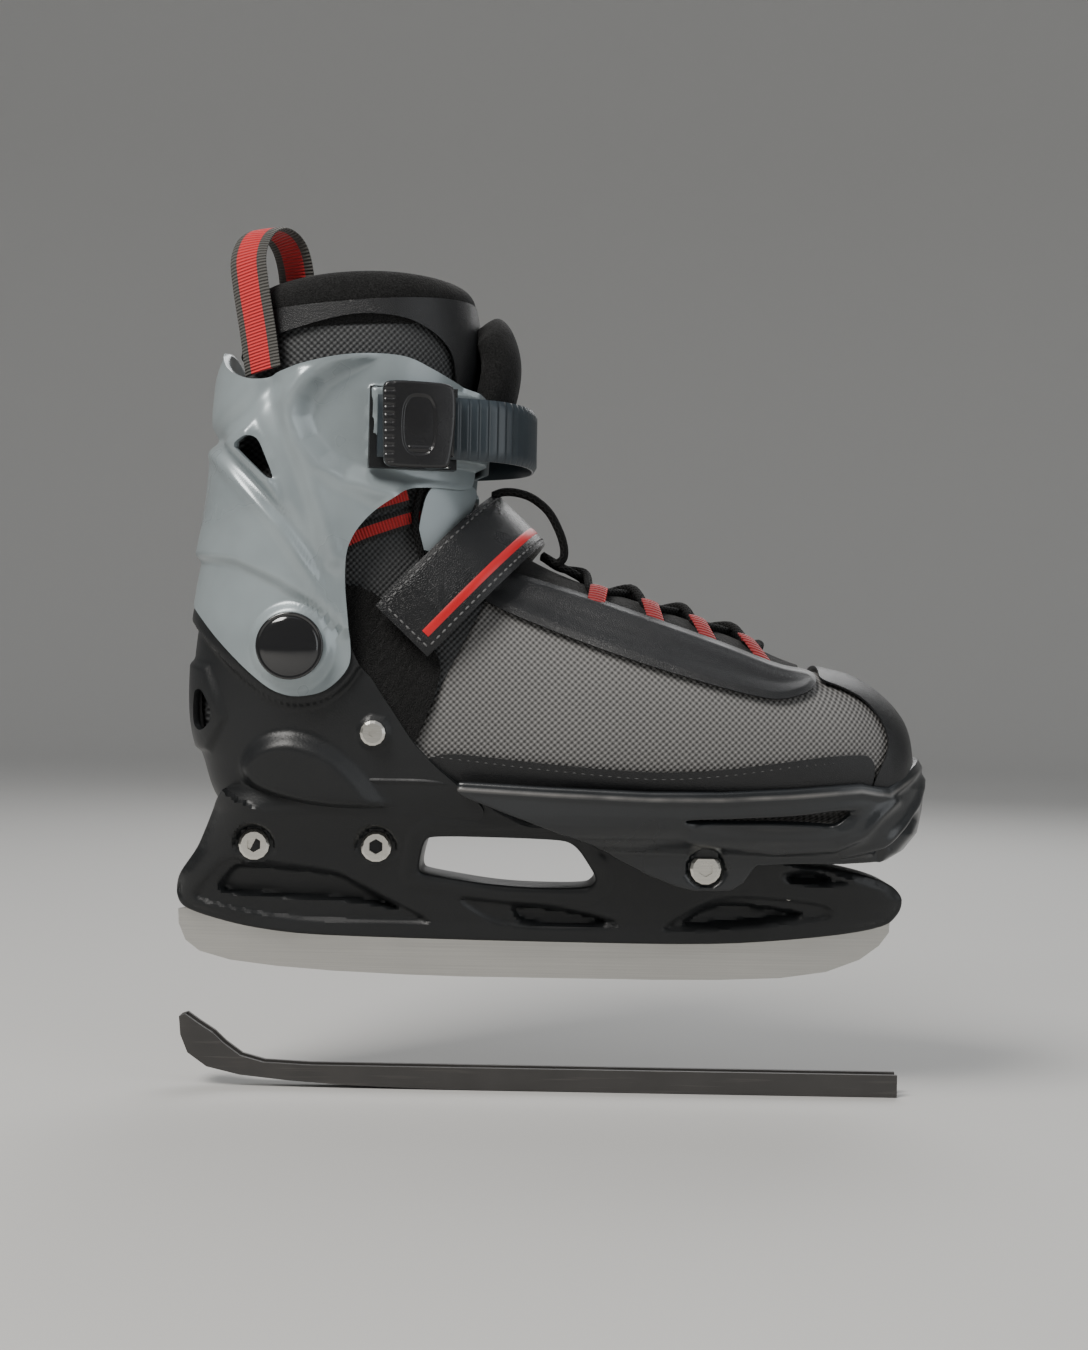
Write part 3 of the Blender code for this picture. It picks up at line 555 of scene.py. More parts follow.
def cut_sheet(name, grid, normal, spots, outline, holes, relief, edge, body, material,
              thickness=0.0, wrap=True):
    """The part of a grid of points that lies inside an outline and outside some holes.

    Spots are the grid's own places on the drawing that the outlines are given in. Points near the
    cut slide along the grid onto it. Relief moves points along their normals. The rim is rolled
    over by a quarter circle of the edge's radius, and a thickness adds the inner side."""
    rows, columns = grid.shape[:2]
    flat, normal = grid.reshape(-1, 3).copy(), normal.reshape(-1, 3).copy()
    spots = spots.reshape(-1, 2).copy()

    def inside_by(places):
        depth = depth_inside(outline, places) - edge
        for hole in holes:
            depth = np.minimum(depth, -depth_inside(hole, places) - edge)
        return depth

    depth = inside_by(spots)
    everyone = np.arange(rows * columns)
    r, c = everyone // columns, everyone % columns
    for pulled, aim in ((depth > 0, -1), (None, 1)):
        pulled = depth <= 0 if pulled is None else pulled
        reach, partner = np.full(len(depth), 2.0), everyone.copy()
        for dr, dc in ((0, 1), (0, -1), (1, 0), (-1, 0), (1, 1), (1, -1), (-1, 1), (-1, -1)):
            nr, nc = r + dr, (c + dc) % columns if wrap else c + dc
            other = np.clip(nr, 0, rows - 1) * columns + np.clip(nc, 0, columns - 1)
            fits = (nr >= 0) & (nr < rows) & (nc >= 0) & (nc < columns)
            fits &= pulled & (depth[other] * aim > 0)
            gap = np.where(fits, depth - depth[other], 1)
            t = np.where(fits, np.abs(depth) / np.abs(gap), 2.0)
            closer = t < reach
            reach[closer], partner[closer] = t[closer], other[closer]
        moved = np.flatnonzero(reach < (0.42 if aim < 0 else 1.5))
        goal, share = partner[moved], np.minimum(reach[moved], 1)[:, None]
        slope = (depth[goal] - depth[moved])[:, None]
        for _ in range(2):
            places = spots[moved] + (spots[goal] - spots[moved]) * share
            miss = inside_by(places)[:, None]
            share = np.clip(share - miss / np.where(np.abs(slope) < 1e-6, 1, slope), 0, 1)
        for values in (flat, normal, spots):
            values[moved] = values[moved] + (values[goal] - values[moved]) * share
        depth[moved] = 0
    faces = grid_faces(rows, columns, wrap)
    kept = faces[(depth[faces] > 0).any(1) & (depth[faces] >= 0).all(1)]
    used, faces = np.unique(kept, return_inverse=True)
    faces = faces.reshape(-1, 4)
    lift = np.asarray(relief(spots, flat))[used] if relief else np.zeros(len(used))
    normal = normal[used] / np.linalg.norm(normal[used], axis=1)[:, None]
    flat, spots = flat[used] + normal * lift[:, None], spots[used]
    first, second = flat[faces[:, 2]] - flat[faces[:, 0]], flat[faces[:, 3]] - flat[faces[:, 1]]
    if (np.cross(first, second) * normal[faces[:, 0]]).sum() < 0:
        faces = faces[:, ::-1]
    starts, ends = faces.ravel(), np.roll(faces, -1, 1).ravel()
    count = len(flat)
    key, back = starts * count + ends, ends * count + starts
    open_run = ~np.isin(key, back)
    a, b = starts[open_run], ends[open_run]
    outward = np.zeros_like(flat)
    for end in (a, b):
        np.add.at(outward, end, np.cross(flat[b] - flat[a], normal[a] + normal[b]))
    rim = np.unique(a)
    outward[rim] /= np.linalg.norm(outward[rim], axis=1)[:, None] + 1e-12
    for _ in range(3):
        calm = outward * 2
        np.add.at(calm, a, outward[b])
        np.add.at(calm, b, outward[a])
        outward[rim] = calm[rim] / (np.linalg.norm(calm[rim], axis=1)[:, None] + 1e-12)
    place_on_rim = np.zeros(count, int)
    place_on_rim[rim] = np.arange(len(rim))
    a_rim, b_rim = place_on_rim[a], place_on_rim[b]
    layers, quads, last_a, last_b = [flat], [faces], a, b
    rings = [(np.sin(t) * edge, (1 - np.cos(t)) * edge) for t in np.radians([30, 60, 90])]
    if thickness:
        rings.append((edge, thickness))
    for out, down in rings:
        layers.append(flat[rim] + outward[rim] * out - normal[rim] * down)
        base = sum(len(layer) for layer in layers[:-1])
        quads.append(np.stack([last_b, last_a, base + a_rim, base + b_rim], 1))
        last_a, last_b = base + a_rim, base + b_rim
    if thickness:
        base = sum(len(layer) for layer in layers)
        layers.append(flat - normal * thickness)
        quads += [faces[:, ::-1] + base, np.stack([last_b, last_a, base + a, base + b], 1)]
    uv = np.vstack([spots] + [spots[rim]] * len(rings) + ([spots] if thickness else []))
    obj = new_piece(name, np.vstack(layers), np.vstack(quads), body, material, uv)
    obj.data.set_sharp_from_angle(angle=np.radians(55))
    return obj


def form_sheet(offset, first, last, rows, around):
    """A fine grid on the boot's form, its outward normals, and its side view."""
    grid = form_grid(offset, first, last, around, rows)
    return grid, normals_of(grid), grid[..., ::2]


CUFF = [(-124.5, 245), (-121.5, 246), (-117.7, 237), (-112.3, 228.6), (-105, 225.2),
        (-99.3, 225.9), (-84, 231), (-70, 234.2), (-58, 235.2), (-47, 234.4), (-37, 230),
        (-24, 224.3), (-20, 221), (-19.5, 216), (-21.3, 190.5), (-25, 187.6), (-36.4, 187.4),
        (-48, 186.3), (-55, 181.4), (-61.9, 175.4), (-66.6, 169.4), (-69.5, 162.3),
        (-69.8, 150.5), (-67.8, 133.2), (-66.9, 121.4), (-70.5, 115.5), (-77.4, 109.8),
        (-88, 108), (-96.2, 110.2), (-105.5, 117.1), (-117.5, 128.6), (-128.4, 140.5),
        (-140, 150), (-145, 175), (-145, 230)]
CUFF_WINDOW = [(-102.6, 206), (-108.8, 200.8), (-104, 195.8), (-95.2, 186.6), (-97.5, 194)]
PIVOT = np.array([-89.0, 127.0])


def cuff_relief(spots, points):
    """Heights on the cuff: crests and hollows along paths, a pod with a pocket, a raised lobe."""
    pod = depth_inside([(-88, 211), (-86.2, 219), (-80.4, 226.6), (-72.8, 231.5), (-64, 236),
                        (-50, 245), (10, 245), (10, 180), (-45, 184.5), (-59.4, 187),
                        (-69.7, 190), (-79, 195.5), (-85, 203)], spots)
    pocket = depth_inside([(-61, 222.8), (-61, 197), (10, 196), (10, 223.5)], spots)
    height = 4.6 * ramp(pod + 1.5, 8) - 1.2 * np.exp(-((pod + 2.5) / 3) ** 2)
    lobe = depth_inside([(-150, 163), (-129, 161), (-110, 158.3), (-94.5, 151.2), (-80.3, 142.3),
                         (-69.6, 133.2), (-60, 122), (-60, 90), (-150, 90)], spots)
    height += 3.0 * ramp(lobe + 1, 3.5) * ramp(-38 - spots[:, 0], 30)
    triangle = depth_inside([(-117.5, 202.5), (-103, 211), (-96, 196), (-89, 171)], spots)
    height -= 3.6 * ramp(triangle + 0.6, 5)
    height += 1.7 * ramp(spots[:, 1] - 146, 24) * fold(
        spots, [(-99, 224), (-95.5, 214), (-90.7, 201), (-82, 171), (-75, 148)], 3.4)
    height += 2.0 * fold(spots, [(-126, 202), (-119, 206), (-106, 214), (-98, 224)], 4)
    height -= 1.6 * fold(spots, [(-86, 226), (-92, 216), (-91, 205), (-82, 185), (-74, 160)], 3.6)
    groove = [(-124, 203), (-116.5, 196.5), (-107.9, 187), (-93.7, 170.9), (-82.4, 154),
              (-73, 139.8)]
    fade = ramp(spots[:, 1] - 138, 26)
    height -= 1.7 * fold(spots, groove, 2.4) * fade
    height += 2.0 * fold(spots, np.array(groove) + [3.2, 2.6], 3.2) * fade
    height += 1.4 * fold(spots, [(-70, 188), (-64, 181), (-60, 177)], 6)
    height += 3.5 * ramp(spots[:, 1] - 226, 20) * ramp(-spots[:, 0] - 105, 14)
    height = np.where(pocket > -3, height * (1 - ramp(pocket + 0.8, 1.6)), height)
    from_pivot = np.linalg.norm(spots - PIVOT, axis=1)
    return height * ramp(from_pivot - 12.8, 4)


def build_grain(tree, given):
    """Fine moulding texture: small soft pebbles over a slow unevenness."""
    place = place_of(tree)
    return noise(tree, place, given["Scale"], 2.0), noise(tree, place, 30.0, 3.0)


grain = make_group("grain", [("Scale", "Float", 1500.0)], [("Height", "Float"), ("Slow", "Float")],
                   build_grain)


def graded(tree, value, low, high, to_low=0.0, to_high=1.0):
    """A span of values mapped onto another span."""
    return add_node(tree, "MapRange", i0=value, i1=low, i2=high, i3=to_low, i4=to_high).outputs[0]


def moulded(name, color, rough_low, rough_high, grain_depth, scale=1500.0, **values):
    """Moulded plastic: a little uneven in gloss and shade, with the mould's fine grain."""
    material, tree, shader = new_material(name, color, rough_high, **values)
    texture = use_group(tree, grain, Scale=scale)
    slow = texture.outputs["Slow"]
    tree.links.new(graded(tree, slow, 0.3, 0.7, rough_low, rough_high),
                   shader.inputs["Roughness"])
    tree.links.new(shades(tree, slow, 0.3, 0.7, dimmed(color, 0.86), dimmed(color, 1.1)),
                   shader.inputs["Base Color"])
    if grain_depth:
        bump(tree, shader, texture.outputs["Height"], grain_depth)
    return material


silver = moulded("silver_satin", (0.30, 0.345, 0.36), 0.26, 0.36, 0.0, Metallic=0.25,
                 Coat_Weight=0.35, Coat_Roughness=0.18)
CUFF_OUT, CUFF_WALL = 8.0, 3.0                     # outer face off the form, thickness
cuff_grid, cuff_normal, cuff_spots = form_sheet(CUFF_OUT, 7.5, 15, 230, 330)
cuff = cut_sheet("cuff_shell", cuff_grid, cuff_normal, cuff_spots, rounded(CUFF),
                 [rounded(CUFF_WINDOW)], cuff_relief, 1.6, "ankle", silver, CUFF_WALL)
stands_for(cuff, "cuff_plastic", "cuff")

# --- Heel cup and blade holder --------------------------------------------------------------------
# One black moulding carries the boot and the blade. The cup wraps the heel up to the two ankle
# pivots, and the holder under it is a long hollow beam with sunk windows and a through opening.

black = moulded("black_shell", (0.011, 0.012, 0.013), 0.34, 0.5, 0.00008, 1300.0,
                Coat_Weight=0.08, Coat_Roughness=0.3, Specular_IOR_Level=0.35)
gloss = moulded("black_gloss", (0.009, 0.010, 0.012), 0.06, 0.12, 0.0, Coat_Weight=0.6,
                Coat_Roughness=0.05)
EAR_RADIUS = 20.5
CUP_OUT, SKIN = 3.7, 3.0                           # ears off the form; the skin's further height
ear = [tuple(PIVOT + EAR_RADIUS * np.array([np.cos(a), np.sin(a)]))
       for a in np.linspace(np.pi, 0.15, 14)]
CUP = ([(-160, 62), (-160, 141), (-124, 141), (-112, 136)] + ear
       + [(-63.5, 119), (-59.7, 115.8), (-55.5, 109), (-51.3, 103.1), (-43.7, 91.4),
          (-34.9, 82.4), (-26.3, 76.0), (-16, 69), (-20, 62)])
HEEL_WINDOW = [(-125.8, 113.5), (-118.4, 100.5), (-124.3, 94.3), (-126.8, 98)]
TEARDROP = [(-103.5, 87.4), (-101.8, 80.8), (-95.0, 76.0), (-84.3, 72.6), (-71, 71.7),
            (-64, 75.0), (-62.2, 79.6), (-71.3, 88), (-80.8, 92.3), (-90.3, 94.4), (-98.5, 93)]
HOLDER_WIDTH = np.array([(10, 5.5), (22, 7.5), (34, 12), (44, 17), (52, 21), (58, 25),
                         (64, 29.5), (72, 35), (80, 39.5), (100, 48), (160, 52)])  # height, half


def cup_relief(spots, points):
    """The outer skin stands 3 mm proud of the ears; round the teardrop it sinks in."""
    from_cuff = -depth_inside(rounded(CUFF), spots)
    height = SKIN * ramp(from_cuff - 2.4, 1.6) * ramp(spots[:, 1] - 64, 20)
    well = depth_inside(rounded([(-111.5, 81.6), (-107, 74.5), (-99.4, 71), (-80.4, 67),
                                 (-61.5, 66.5), (-47, 68.3), (-55.9, 74.5), (-61.7, 81.6),
                                 (-71.3, 90), (-80.8, 94.5), (-90.3, 96.6), (-99.8, 95),
                                 (-108, 89)]), spots)
    height -= 5.0 * ramp(well, 6.5) * ramp(spots[:, 1] - 64, 8)
    height -= 1.8 * ramp(depth_inside([(-136, 124), (-121, 120), (-113, 100), (-121, 86),
                                       (-136, 86)], spots), 3.0)
    bolt = np.linalg.norm(spots - [-58.7, 95.3], axis=1)
    height = np.where(bolt < 9, np.minimum(height, SKIN - 1.8 * ramp(6.4 - bolt, 1.2)), height)
    return height


cup_grid, cup_normal, cup_spots = form_sheet(CUP_OUT, 3.8, 12.6, 230, 250)
limit = np.interp(cup_grid[..., 2], HOLDER_WIDTH[:, 0], HOLDER_WIDTH[:, 1])
cup_grid[..., 1] = np.clip(cup_grid[..., 1], -limit, limit)
cup_normal = normals_of(cup_grid)
cup = cut_sheet("heel_cup", cup_grid, cup_normal, cup_spots, rounded(CUP), [rounded(HEEL_WINDOW)],
                cup_relief, 1.5, "chassis", black, 3.0)
stands_for(cup, "black_shell", "rear_shell")


def teardrop_relief(spots, points):
    """A domed drop: steep at its rim, and dented near its tip."""
    inside = depth_inside(rounded(TEARDROP), spots)
    dent = np.exp(-(((spots - [-73.0, 78.5]) / [7, 3]) ** 2).sum(1))
    dome = 3.8 * np.sqrt(np.clip(1 - (1 - np.clip(inside / 9, 0, 1)) ** 2, 0, 1))
    return cup_relief(spots, points) + 0.6 + dome - 1.6 * dent


boss = cut_sheet("teardrop_boss", cup_grid.copy(), cup_normal, cup_spots, rounded(TEARDROP), [],
                 teardrop_relief, 0.4, "chassis", gloss, 1.5)
stands_for(boss, "black_shell", "rear_shell")

HOLDER = [(-118.5, 69.5), (-121, 64.4), (-124, 58), (-128, 49), (-135.4, 39),
          (-137.5, 32.5), (-135, 26.3), (-127, 22.9), (-110.7, 18.8), (-93, 16.4), (-76, 15.5),
          (-20, 14.6), (50, 14.3), (77.5, 14.9), (102, 16.9), (127, 20), (139.2, 23),
          (144, 28.4), (144.8, 33.5), (141.5, 38), (133.9, 42), (118, 45.5), (100, 47.2),
          (88, 52), (80, 61.5), (4, 61.5), (-3, 62.6), (-12, 67.6), (-26, 75.9), (-34, 79),
          (-60, 79), (-108, 79), (-115, 74)]
OPENING = [(-42.8, 42), (-40.3, 54.0), (-37, 56.4), (8, 55.8), (17, 54.2), (25.1, 42),
           (25.5, 39), (22, 36.2), (-9.5, 36.4), (-37.8, 40.5)]
WELLS = [  # sunk windows: outer outline, inner and deeper outline
    ([(-130.6, 32.2), (-117.7, 46.3), (-111, 47.4), (-86.8, 44.5), (-73.1, 42.3), (-66, 38),
      (-36.1, 22.8), (-37.5, 19.9), (-94.3, 20.8), (-129.6, 28.0)],
     [(-122.8, 32.1), (-113.7, 42.8), (-110.3, 43.6), (-74.1, 41), (-67.2, 37.2), (-46, 25.2),
      (-67, 29.4), (-102.2, 30.7)]),
    ([(-31, 32.9), (-10.4, 31.3), (11.2, 29.2), (24, 27), (37.6, 23.4), (35.4, 19.8),
      (-6.8, 19.6), (-19.1, 23.3)],
     [(-8, 29.8), (11, 27.9), (30, 24), (29, 21), (-3.5, 21)]),
    ([(49.3, 20.6), (69.5, 34.3), (86.4, 35), (114.4, 32.6), (119.4, 28), (114, 23.8),
      (53, 18.4)],
     [(58.7, 22.6), (71.5, 32.2), (105.1, 28.6), (106.5, 25.6), (60.6, 21.3)]),
    ([(94.2, 43.4), (100.4, 46.2), (113.8, 46.4), (118.7, 42.6), (128, 39.6), (113.7, 37.8),
      (98.5, 38.6)],
     [(98.6, 42), (102, 44), (112, 44), (117, 41), (112, 39.8), (100, 40)])]
BOLTS = [(-105, 51.5), (-58.5, 51.5)]
BOLT_SEAT, SEAT_DEPTH = 8.5, 18.5                  # radius of a seat, and its place off the middle


def holder_relief(spots, points):
    """Sunk windows with sloped walls, and flat seats round the bolt heads."""
    height = np.zeros(len(spots))
    for outer, inner in WELLS:
        height -= 1.9 * ramp(depth_inside(rounded(outer), spots), 2.4)
        height -= 4.2 * ramp(depth_inside(rounded(inner), spots) + 0.4, 1.8)
    height += 0.9 * ramp(3.4 - np.abs(depth_inside(OPENING, spots) + 4.0), 2.4)
    for spot in BOLTS:
        near = np.linalg.norm(spots - spot, axis=1)
        level = SEAT_DEPTH - np.interp(spots[:, 1], HOLDER_WIDTH[:, 0], HOLDER_WIDTH[:, 1])
        seated = ramp(BOLT_SEAT - near, 1.5)
        height = np.where(near < BOLT_SEAT, level * seated + height * (1 - seated), height)
    return np.maximum(height, 3.0 + points[:, 1])


# The holder's side: a flat grid whose half width grows with height, closes in a rounded curve at
# the tail and the nose, and meets the cup's own side above the beam.
flat_x, flat_z = np.meshgrid(np.linspace(-140, 147, 260), np.linspace(13, 80, 62), indexing="ij")
half = np.interp(flat_z, HOLDER_WIDTH[:, 0], HOLDER_WIDTH[:, 1])
tail = np.interp(flat_z, [16, 23, 27, 39, 49, 58, 64, 80],
                 [-112, -127, -136, -135, -128, -124, -122, -124])
nose = np.interp(flat_z, [16, 20, 25, 33, 38, 42, 46], [100, 128, 142, 145, 141, 134, 116])
nose = np.where(flat_z > 46, 500, nose)
for end in (flat_x - tail, nose - flat_x):
    half = half * (0.3 + 0.7 * (1 - (1 - np.clip(end / 26, 0, 1)) ** 2.4) ** (1 / 2.4))
cup_side = form_depth(flat_x, flat_z, CUP_OUT) + SKIN * ramp(flat_z - 64, 20)
join = np.where(flat_x < -14, ramp(flat_z - 64, 13), 0)
half = half - 1.6 * ramp(flat_x - 6, 8) * ramp(flat_z - 46, 6)
half = np.where(cup_side > 20, half * (1 - join) + (cup_side - 0.9) * join, half)
plate_grid = np.stack([flat_x, -half, flat_z], -1)
plate_normal = np.broadcast_to([0.0, -1.0, 0.0], plate_grid.shape)
holder = cut_sheet("blade_holder", plate_grid, plate_normal, plate_grid[..., ::2], rounded(HOLDER),
                   [rounded(OPENING)], holder_relief, 1.6, "chassis", black, wrap=False)


def points_of(mesh):
    """All points of a mesh as rows of X, Y and Z in metres."""
    points = np.empty(len(mesh.vertices) * 3)
    mesh.vertices.foreach_get("co", points)
    return points.reshape(-1, 3)


def close_across(obj):
    """Adds the mirror image across Y = 0 and walls between the two rims."""
    mesh = obj.data
    points = points_of(mesh)
    faces = [tuple(p.vertices) for p in mesh.polygons]
    middle = mesh.polygons[0].normal.y
    if middle > 0:
        faces = [f[::-1] for f in faces]
    runs = {(f[k], f[(k + 1) % len(f)]) for f in faces for k in range(len(f))}
    rims = [run for run in runs if (run[1], run[0]) not in runs]
    count = len(points)
    closed = faces + [tuple(v + count for v in f[::-1]) for f in faces]
    closed += [(b, a, a + count, b + count) for a, b in sorted(rims)]
    mesh.clear_geometry()
    mesh.from_pydata(np.vstack([points, points * [1, -1, 1]]).tolist(), [], closed)
    mesh.shade_smooth()
    mesh.set_sharp_from_angle(angle=np.radians(40))


close_across(holder)
stands_for(holder, "black_shell", "rear_shell")

# --- Toe shell ------------------------------------------------------------------------------------
# A black satin bumper that cradles the front of the boot. It flares up from the slide on the
# holder, has a long slot on each side that shows the boot's mesh, and a painted highlight on top.

TOE_PLAN = [(-26, 41.5), (10, 44.5), (50, 48.5), (80, 50), (108, 48), (130, 40), (145, 26),
            (151.5, 12), (153.5, 0)]
# The bumper's side: rows from its lower edge up to its rim. Each row follows the plan view, drawn
# in by the skirt's width at that height and set back at the nose.
half_plan = smooth_path(TOE_PLAN, 26)
plan = np.vstack([half_plan * [1, -1], half_plan[-2::-1]])
TOE_ROWS = 46
run = half_plan[:, 0]
frontness = ramp(run - 128, 24)
rim_z = np.interp(run, [-26, 4.7, 44, 70, 96.4, 122.5, 129, 134, 141, 148, 153.5],
                  [76.6, 75.3, 74.2, 74.6, 76.2, 78.5, 77.4, 77, 81, 85, 87.5])
low_z = np.interp(run, [-26, -24, 5.7, 23.7, 45.1, 56, 62.3, 75.7, 80, 84.9, 98.3, 118, 130,
                        138, 148, 153.5],
                  [74.5, 73, 61.7, 54.5, 44.1, 40, 38.5, 38.7, 41.5, 48.2, 49.1, 49.5, 50.4,
                   50.2, 50, 50])
rim_z, low_z, frontness = (np.concatenate([a, a[-2::-1]]) for a in (rim_z, low_z, frontness))
share = np.linspace(0, 1, TOE_ROWS)[:, None]
level = low_z[None] + share * (rim_z - low_z)[None]
skirt = np.interp(level, [38, 46, 51, 54, 58, 62, 66, 72, 80],
                  [26.8, 27.3, 28.6, 32.5, 39.5, 44.5, 48, 51.5, 53])
reach = np.abs(plan[None, :, 1])
width = (np.maximum(reach, 1e-3) ** -7.0 + skirt ** -7.0) ** (-1 / 7)
back = np.interp(level, [49, 52.9, 59.6, 67.4, 77.6, 88], [15, 8.5, 3.2, 1.6, 0.6, 3.0])
toe_x = plan[None, :, 0] - back * frontness[None]
toe_grid = np.stack([toe_x, np.sign(plan[None, :, 1]) * width, level], -1)
toe_normal = -normals_of(toe_grid, wrap=False)
middle = np.argmin(reach[0])
if toe_normal[TOE_ROWS // 2, middle, 0] < 0:
    toe_normal = -toe_normal
over = rim_z[None] - level
place = toe_grid[..., ::2].reshape(-1, 2)
lift = -1.8 * ramp(depth_inside(rounded([(53.8, 65.3), (86.7, 67.2), (111.6, 70.3),
                                         (124, 71.6), (122, 64), (113.6, 58.4), (91.3, 56.4),
                                         (73.5, 58.2), (61, 61)]), place), 3.2)
lift += 1.5 * fold(place, [(60, 58), (74, 55.5), (92, 53.6), (114, 55.5), (124, 61), (130, 68),
                           (136, 73)], 2.0)
lift += 1.3 * fold(place, [(118, 52.5), (132, 56.5), (141, 64.5), (147, 72), (150, 80)], 1.6)
lift -= 2.6 * fold(place, [(131, 52.6), (137, 55.5), (142, 60.5), (146, 66)], 1.7)
lift = lift.reshape(level.shape)
SLIDE_BOLT = (66.5, 45.8)
from_bolt = np.hypot(toe_grid[..., 0] - SLIDE_BOLT[0], level - SLIDE_BOLT[1])
seat = ramp(7.6 - from_bolt, 1.0)
lift = lift * (1 - seat) + (25.0 - width) * seat
lift += 0.7 * np.exp(-((over - 2.2) / 1.3) ** 2)
SLOT = [(56, 64.6), (77.4, 65.7), (100.1, 67.2), (112, 69.2), (120, 69.6), (117, 65.4),
        (112, 61.9), (104, 62.6), (86.8, 63.1), (72, 62.6), (61, 63.2)]


def build_rim_highlight(tree, given):
    """Painted highlight: a pale band where the height passes the rim, broken up by noise."""
    place = place_of(tree)
    band_noise = noise(tree, place, 90.0, 4.0)
    height = add_node(tree, "SeparateXYZ", i0=add_node(tree, "UVMap").outputs[0]).outputs[1]
    away = math_node(tree, "ABSOLUTE", math_node(tree, "SUBTRACT", height, 1.6))
    near = math_node(tree, "SUBTRACT", 1.0, math_node(tree, "MULTIPLY", away, 0.9))
    highlight_band = math_node(tree, "MULTIPLY", near, math_node(tree, "ADD", band_noise, -0.1))
    return [add_node(tree, "Clamp", i0=highlight_band).outputs[0]]


rim_wear = make_group("rim_wear", [], [("Worn", "Float")], build_rim_highlight)
toe_black = moulded("toe_black", (0.014, 0.016, 0.018), 0.24, 0.38, 0.00005, 900.0,
                    Coat_Weight=0.2, Coat_Roughness=0.2)
tree = toe_black.node_tree
shader = tree.nodes["Principled BSDF"]
# Painted highlight on the bumper's colour: a pale band along its rim, broken up by noise.
rim_glint = use_group(tree, rim_wear)
shade = shader.inputs["Base Color"].links[0].from_socket
mixed = add_node(tree, "Mix", {"data_type": "RGBA"}, i0=rim_glint.outputs["Worn"], i6=shade,
                 i7=(0.24, 0.23, 0.22, 1))
tree.links.new(mixed.outputs[2], shader.inputs["Base Color"])
toe = cut_sheet("toe_bumper", toe_grid, toe_normal, toe_grid[..., ::2],
                [(-60, 0), (200, 0), (200, 120), (-60, 120)], [rounded(SLOT)],
                lambda spots, points: lift.ravel(), 1.2, "toe", toe_black, 2.6, wrap=False)
toe_points = points_of(toe.data) / MM
under_rim = np.interp(toe_points[:, 0], run, rim_z[:len(run)]) - toe_points[:, 2]
set_uv(toe.data, toe.data.uv_layers[0], np.stack([toe_points[:, 0], under_rim], 1))
stands_for(toe, "toe_plastic", "toe_shell")

# --- Leather on the boot --------------------------------------------------------------------------
# Black smooth leather about 1 mm thick, cut in panels and stitched over the cloth: an eyestay on
# each side of the lacing, a toe cap, a band along the sole and a collar with a front band.


def build_leather(tree, given):
    """Leather: small cells with creases between them, and slow patches of polish."""
    place = place_of(tree)
    cells = add_node(tree, "TexVoronoi", {"feature": "DISTANCE_TO_EDGE"}, Vector=place,
                     Scale=1400.0).outputs[0]
    patches = noise(tree, place, 45.0, 3.0)
    return math_node(tree, "MINIMUM", cells, 0.18), patches


hide = make_group("hide", [], [("Height", "Float"), ("Patches", "Float")], build_leather)


def leather_material(name, color, rough_low, rough_high):
    """Coated leather, a little glossier where it is rubbed."""
    material, tree, shader = new_material(name, color, rough_high, Coat_Weight=0.12,
                                          Coat_Roughness=0.3, Specular_IOR_Level=0.35)
    skin = use_group(tree, hide)
    tree.links.new(graded(tree, skin.outputs["Patches"], 0.35, 0.65, rough_low, rough_high),
                   shader.inputs["Roughness"])
    bump(tree, shader, skin.outputs["Height"], 0.0005, 0.6)
    return material


leather = leather_material("black_leather", (0.013, 0.0135, 0.0145), 0.3, 0.44)
thread = new_material("thread", (0.11, 0.11, 0.11), 0.6)[0]


def panel(name, outline, offset, first, last, rows, around, holes=(), thick=1.0, relief=None,
          material=None):
    """A leather panel laid on the boot's form inside a side-view outline."""
    grid, normal, spots = form_sheet(offset, first, last, rows, around)
    return cut_sheet(name, grid, normal, spots, rounded(outline), list(holes), relief, 0.6, None,
                     material or leather, thick)


def front_blend(*pieces):
    """Leather sewn to the front of the boot."""
    for piece in pieces:
        stretch_front(piece)
        stands_for(piece, "leather", "front_boot")


def ankle_blend(*pieces):
    """Leather and padding on the boot's upper part."""
    for piece in pieces:
        bend_ankle(piece)
        stands_for(piece, "leather", "ankle_boot")


def pods(name, lines, outs, thick, body, material):
    """Stitches: short round-ended pods, one along each line, sunk by half into the surface."""
    lines, outs = np.asarray(lines, float), np.asarray(outs, float)
    way = lines[:, 1] - lines[:, 0]
    length = np.linalg.norm(way, axis=1)
    way /= length[:, None]
    one = unit(np.cross(way, outs))
    two = np.cross(way, one)
    stations = np.array([-0.5, -0.38, 0, 0.38, 0.5])
    swell = np.array([0.02, 0.75, 1.0, 0.75, 0.02]) * thick / 2
    turn = np.linspace(0, 2 * np.pi, 6, endpoint=False)
    rings = (lines.mean(1)[:, None, None]
             + (stations[None, :] * length[:, None])[:, :, None, None] * way[:, None, None]
             + swell[None, :, None, None] * (np.cos(turn)[None, None, :, None] * one[:, None, None]
                                             + np.sin(turn)[None, None, :, None]
                                             * two[:, None, None]))
    sheet = grid_faces(5, 6, True)
    faces = []
    for k in range(len(lines)):
        base = k * 30
        faces += [tuple(f) for f in sheet + base]
        faces += [tuple(range(base + 5, base - 1, -1)), tuple(range(base + 24, base + 30))]
    return new_piece(name, rings.reshape(-1, 3), faces, body, material)


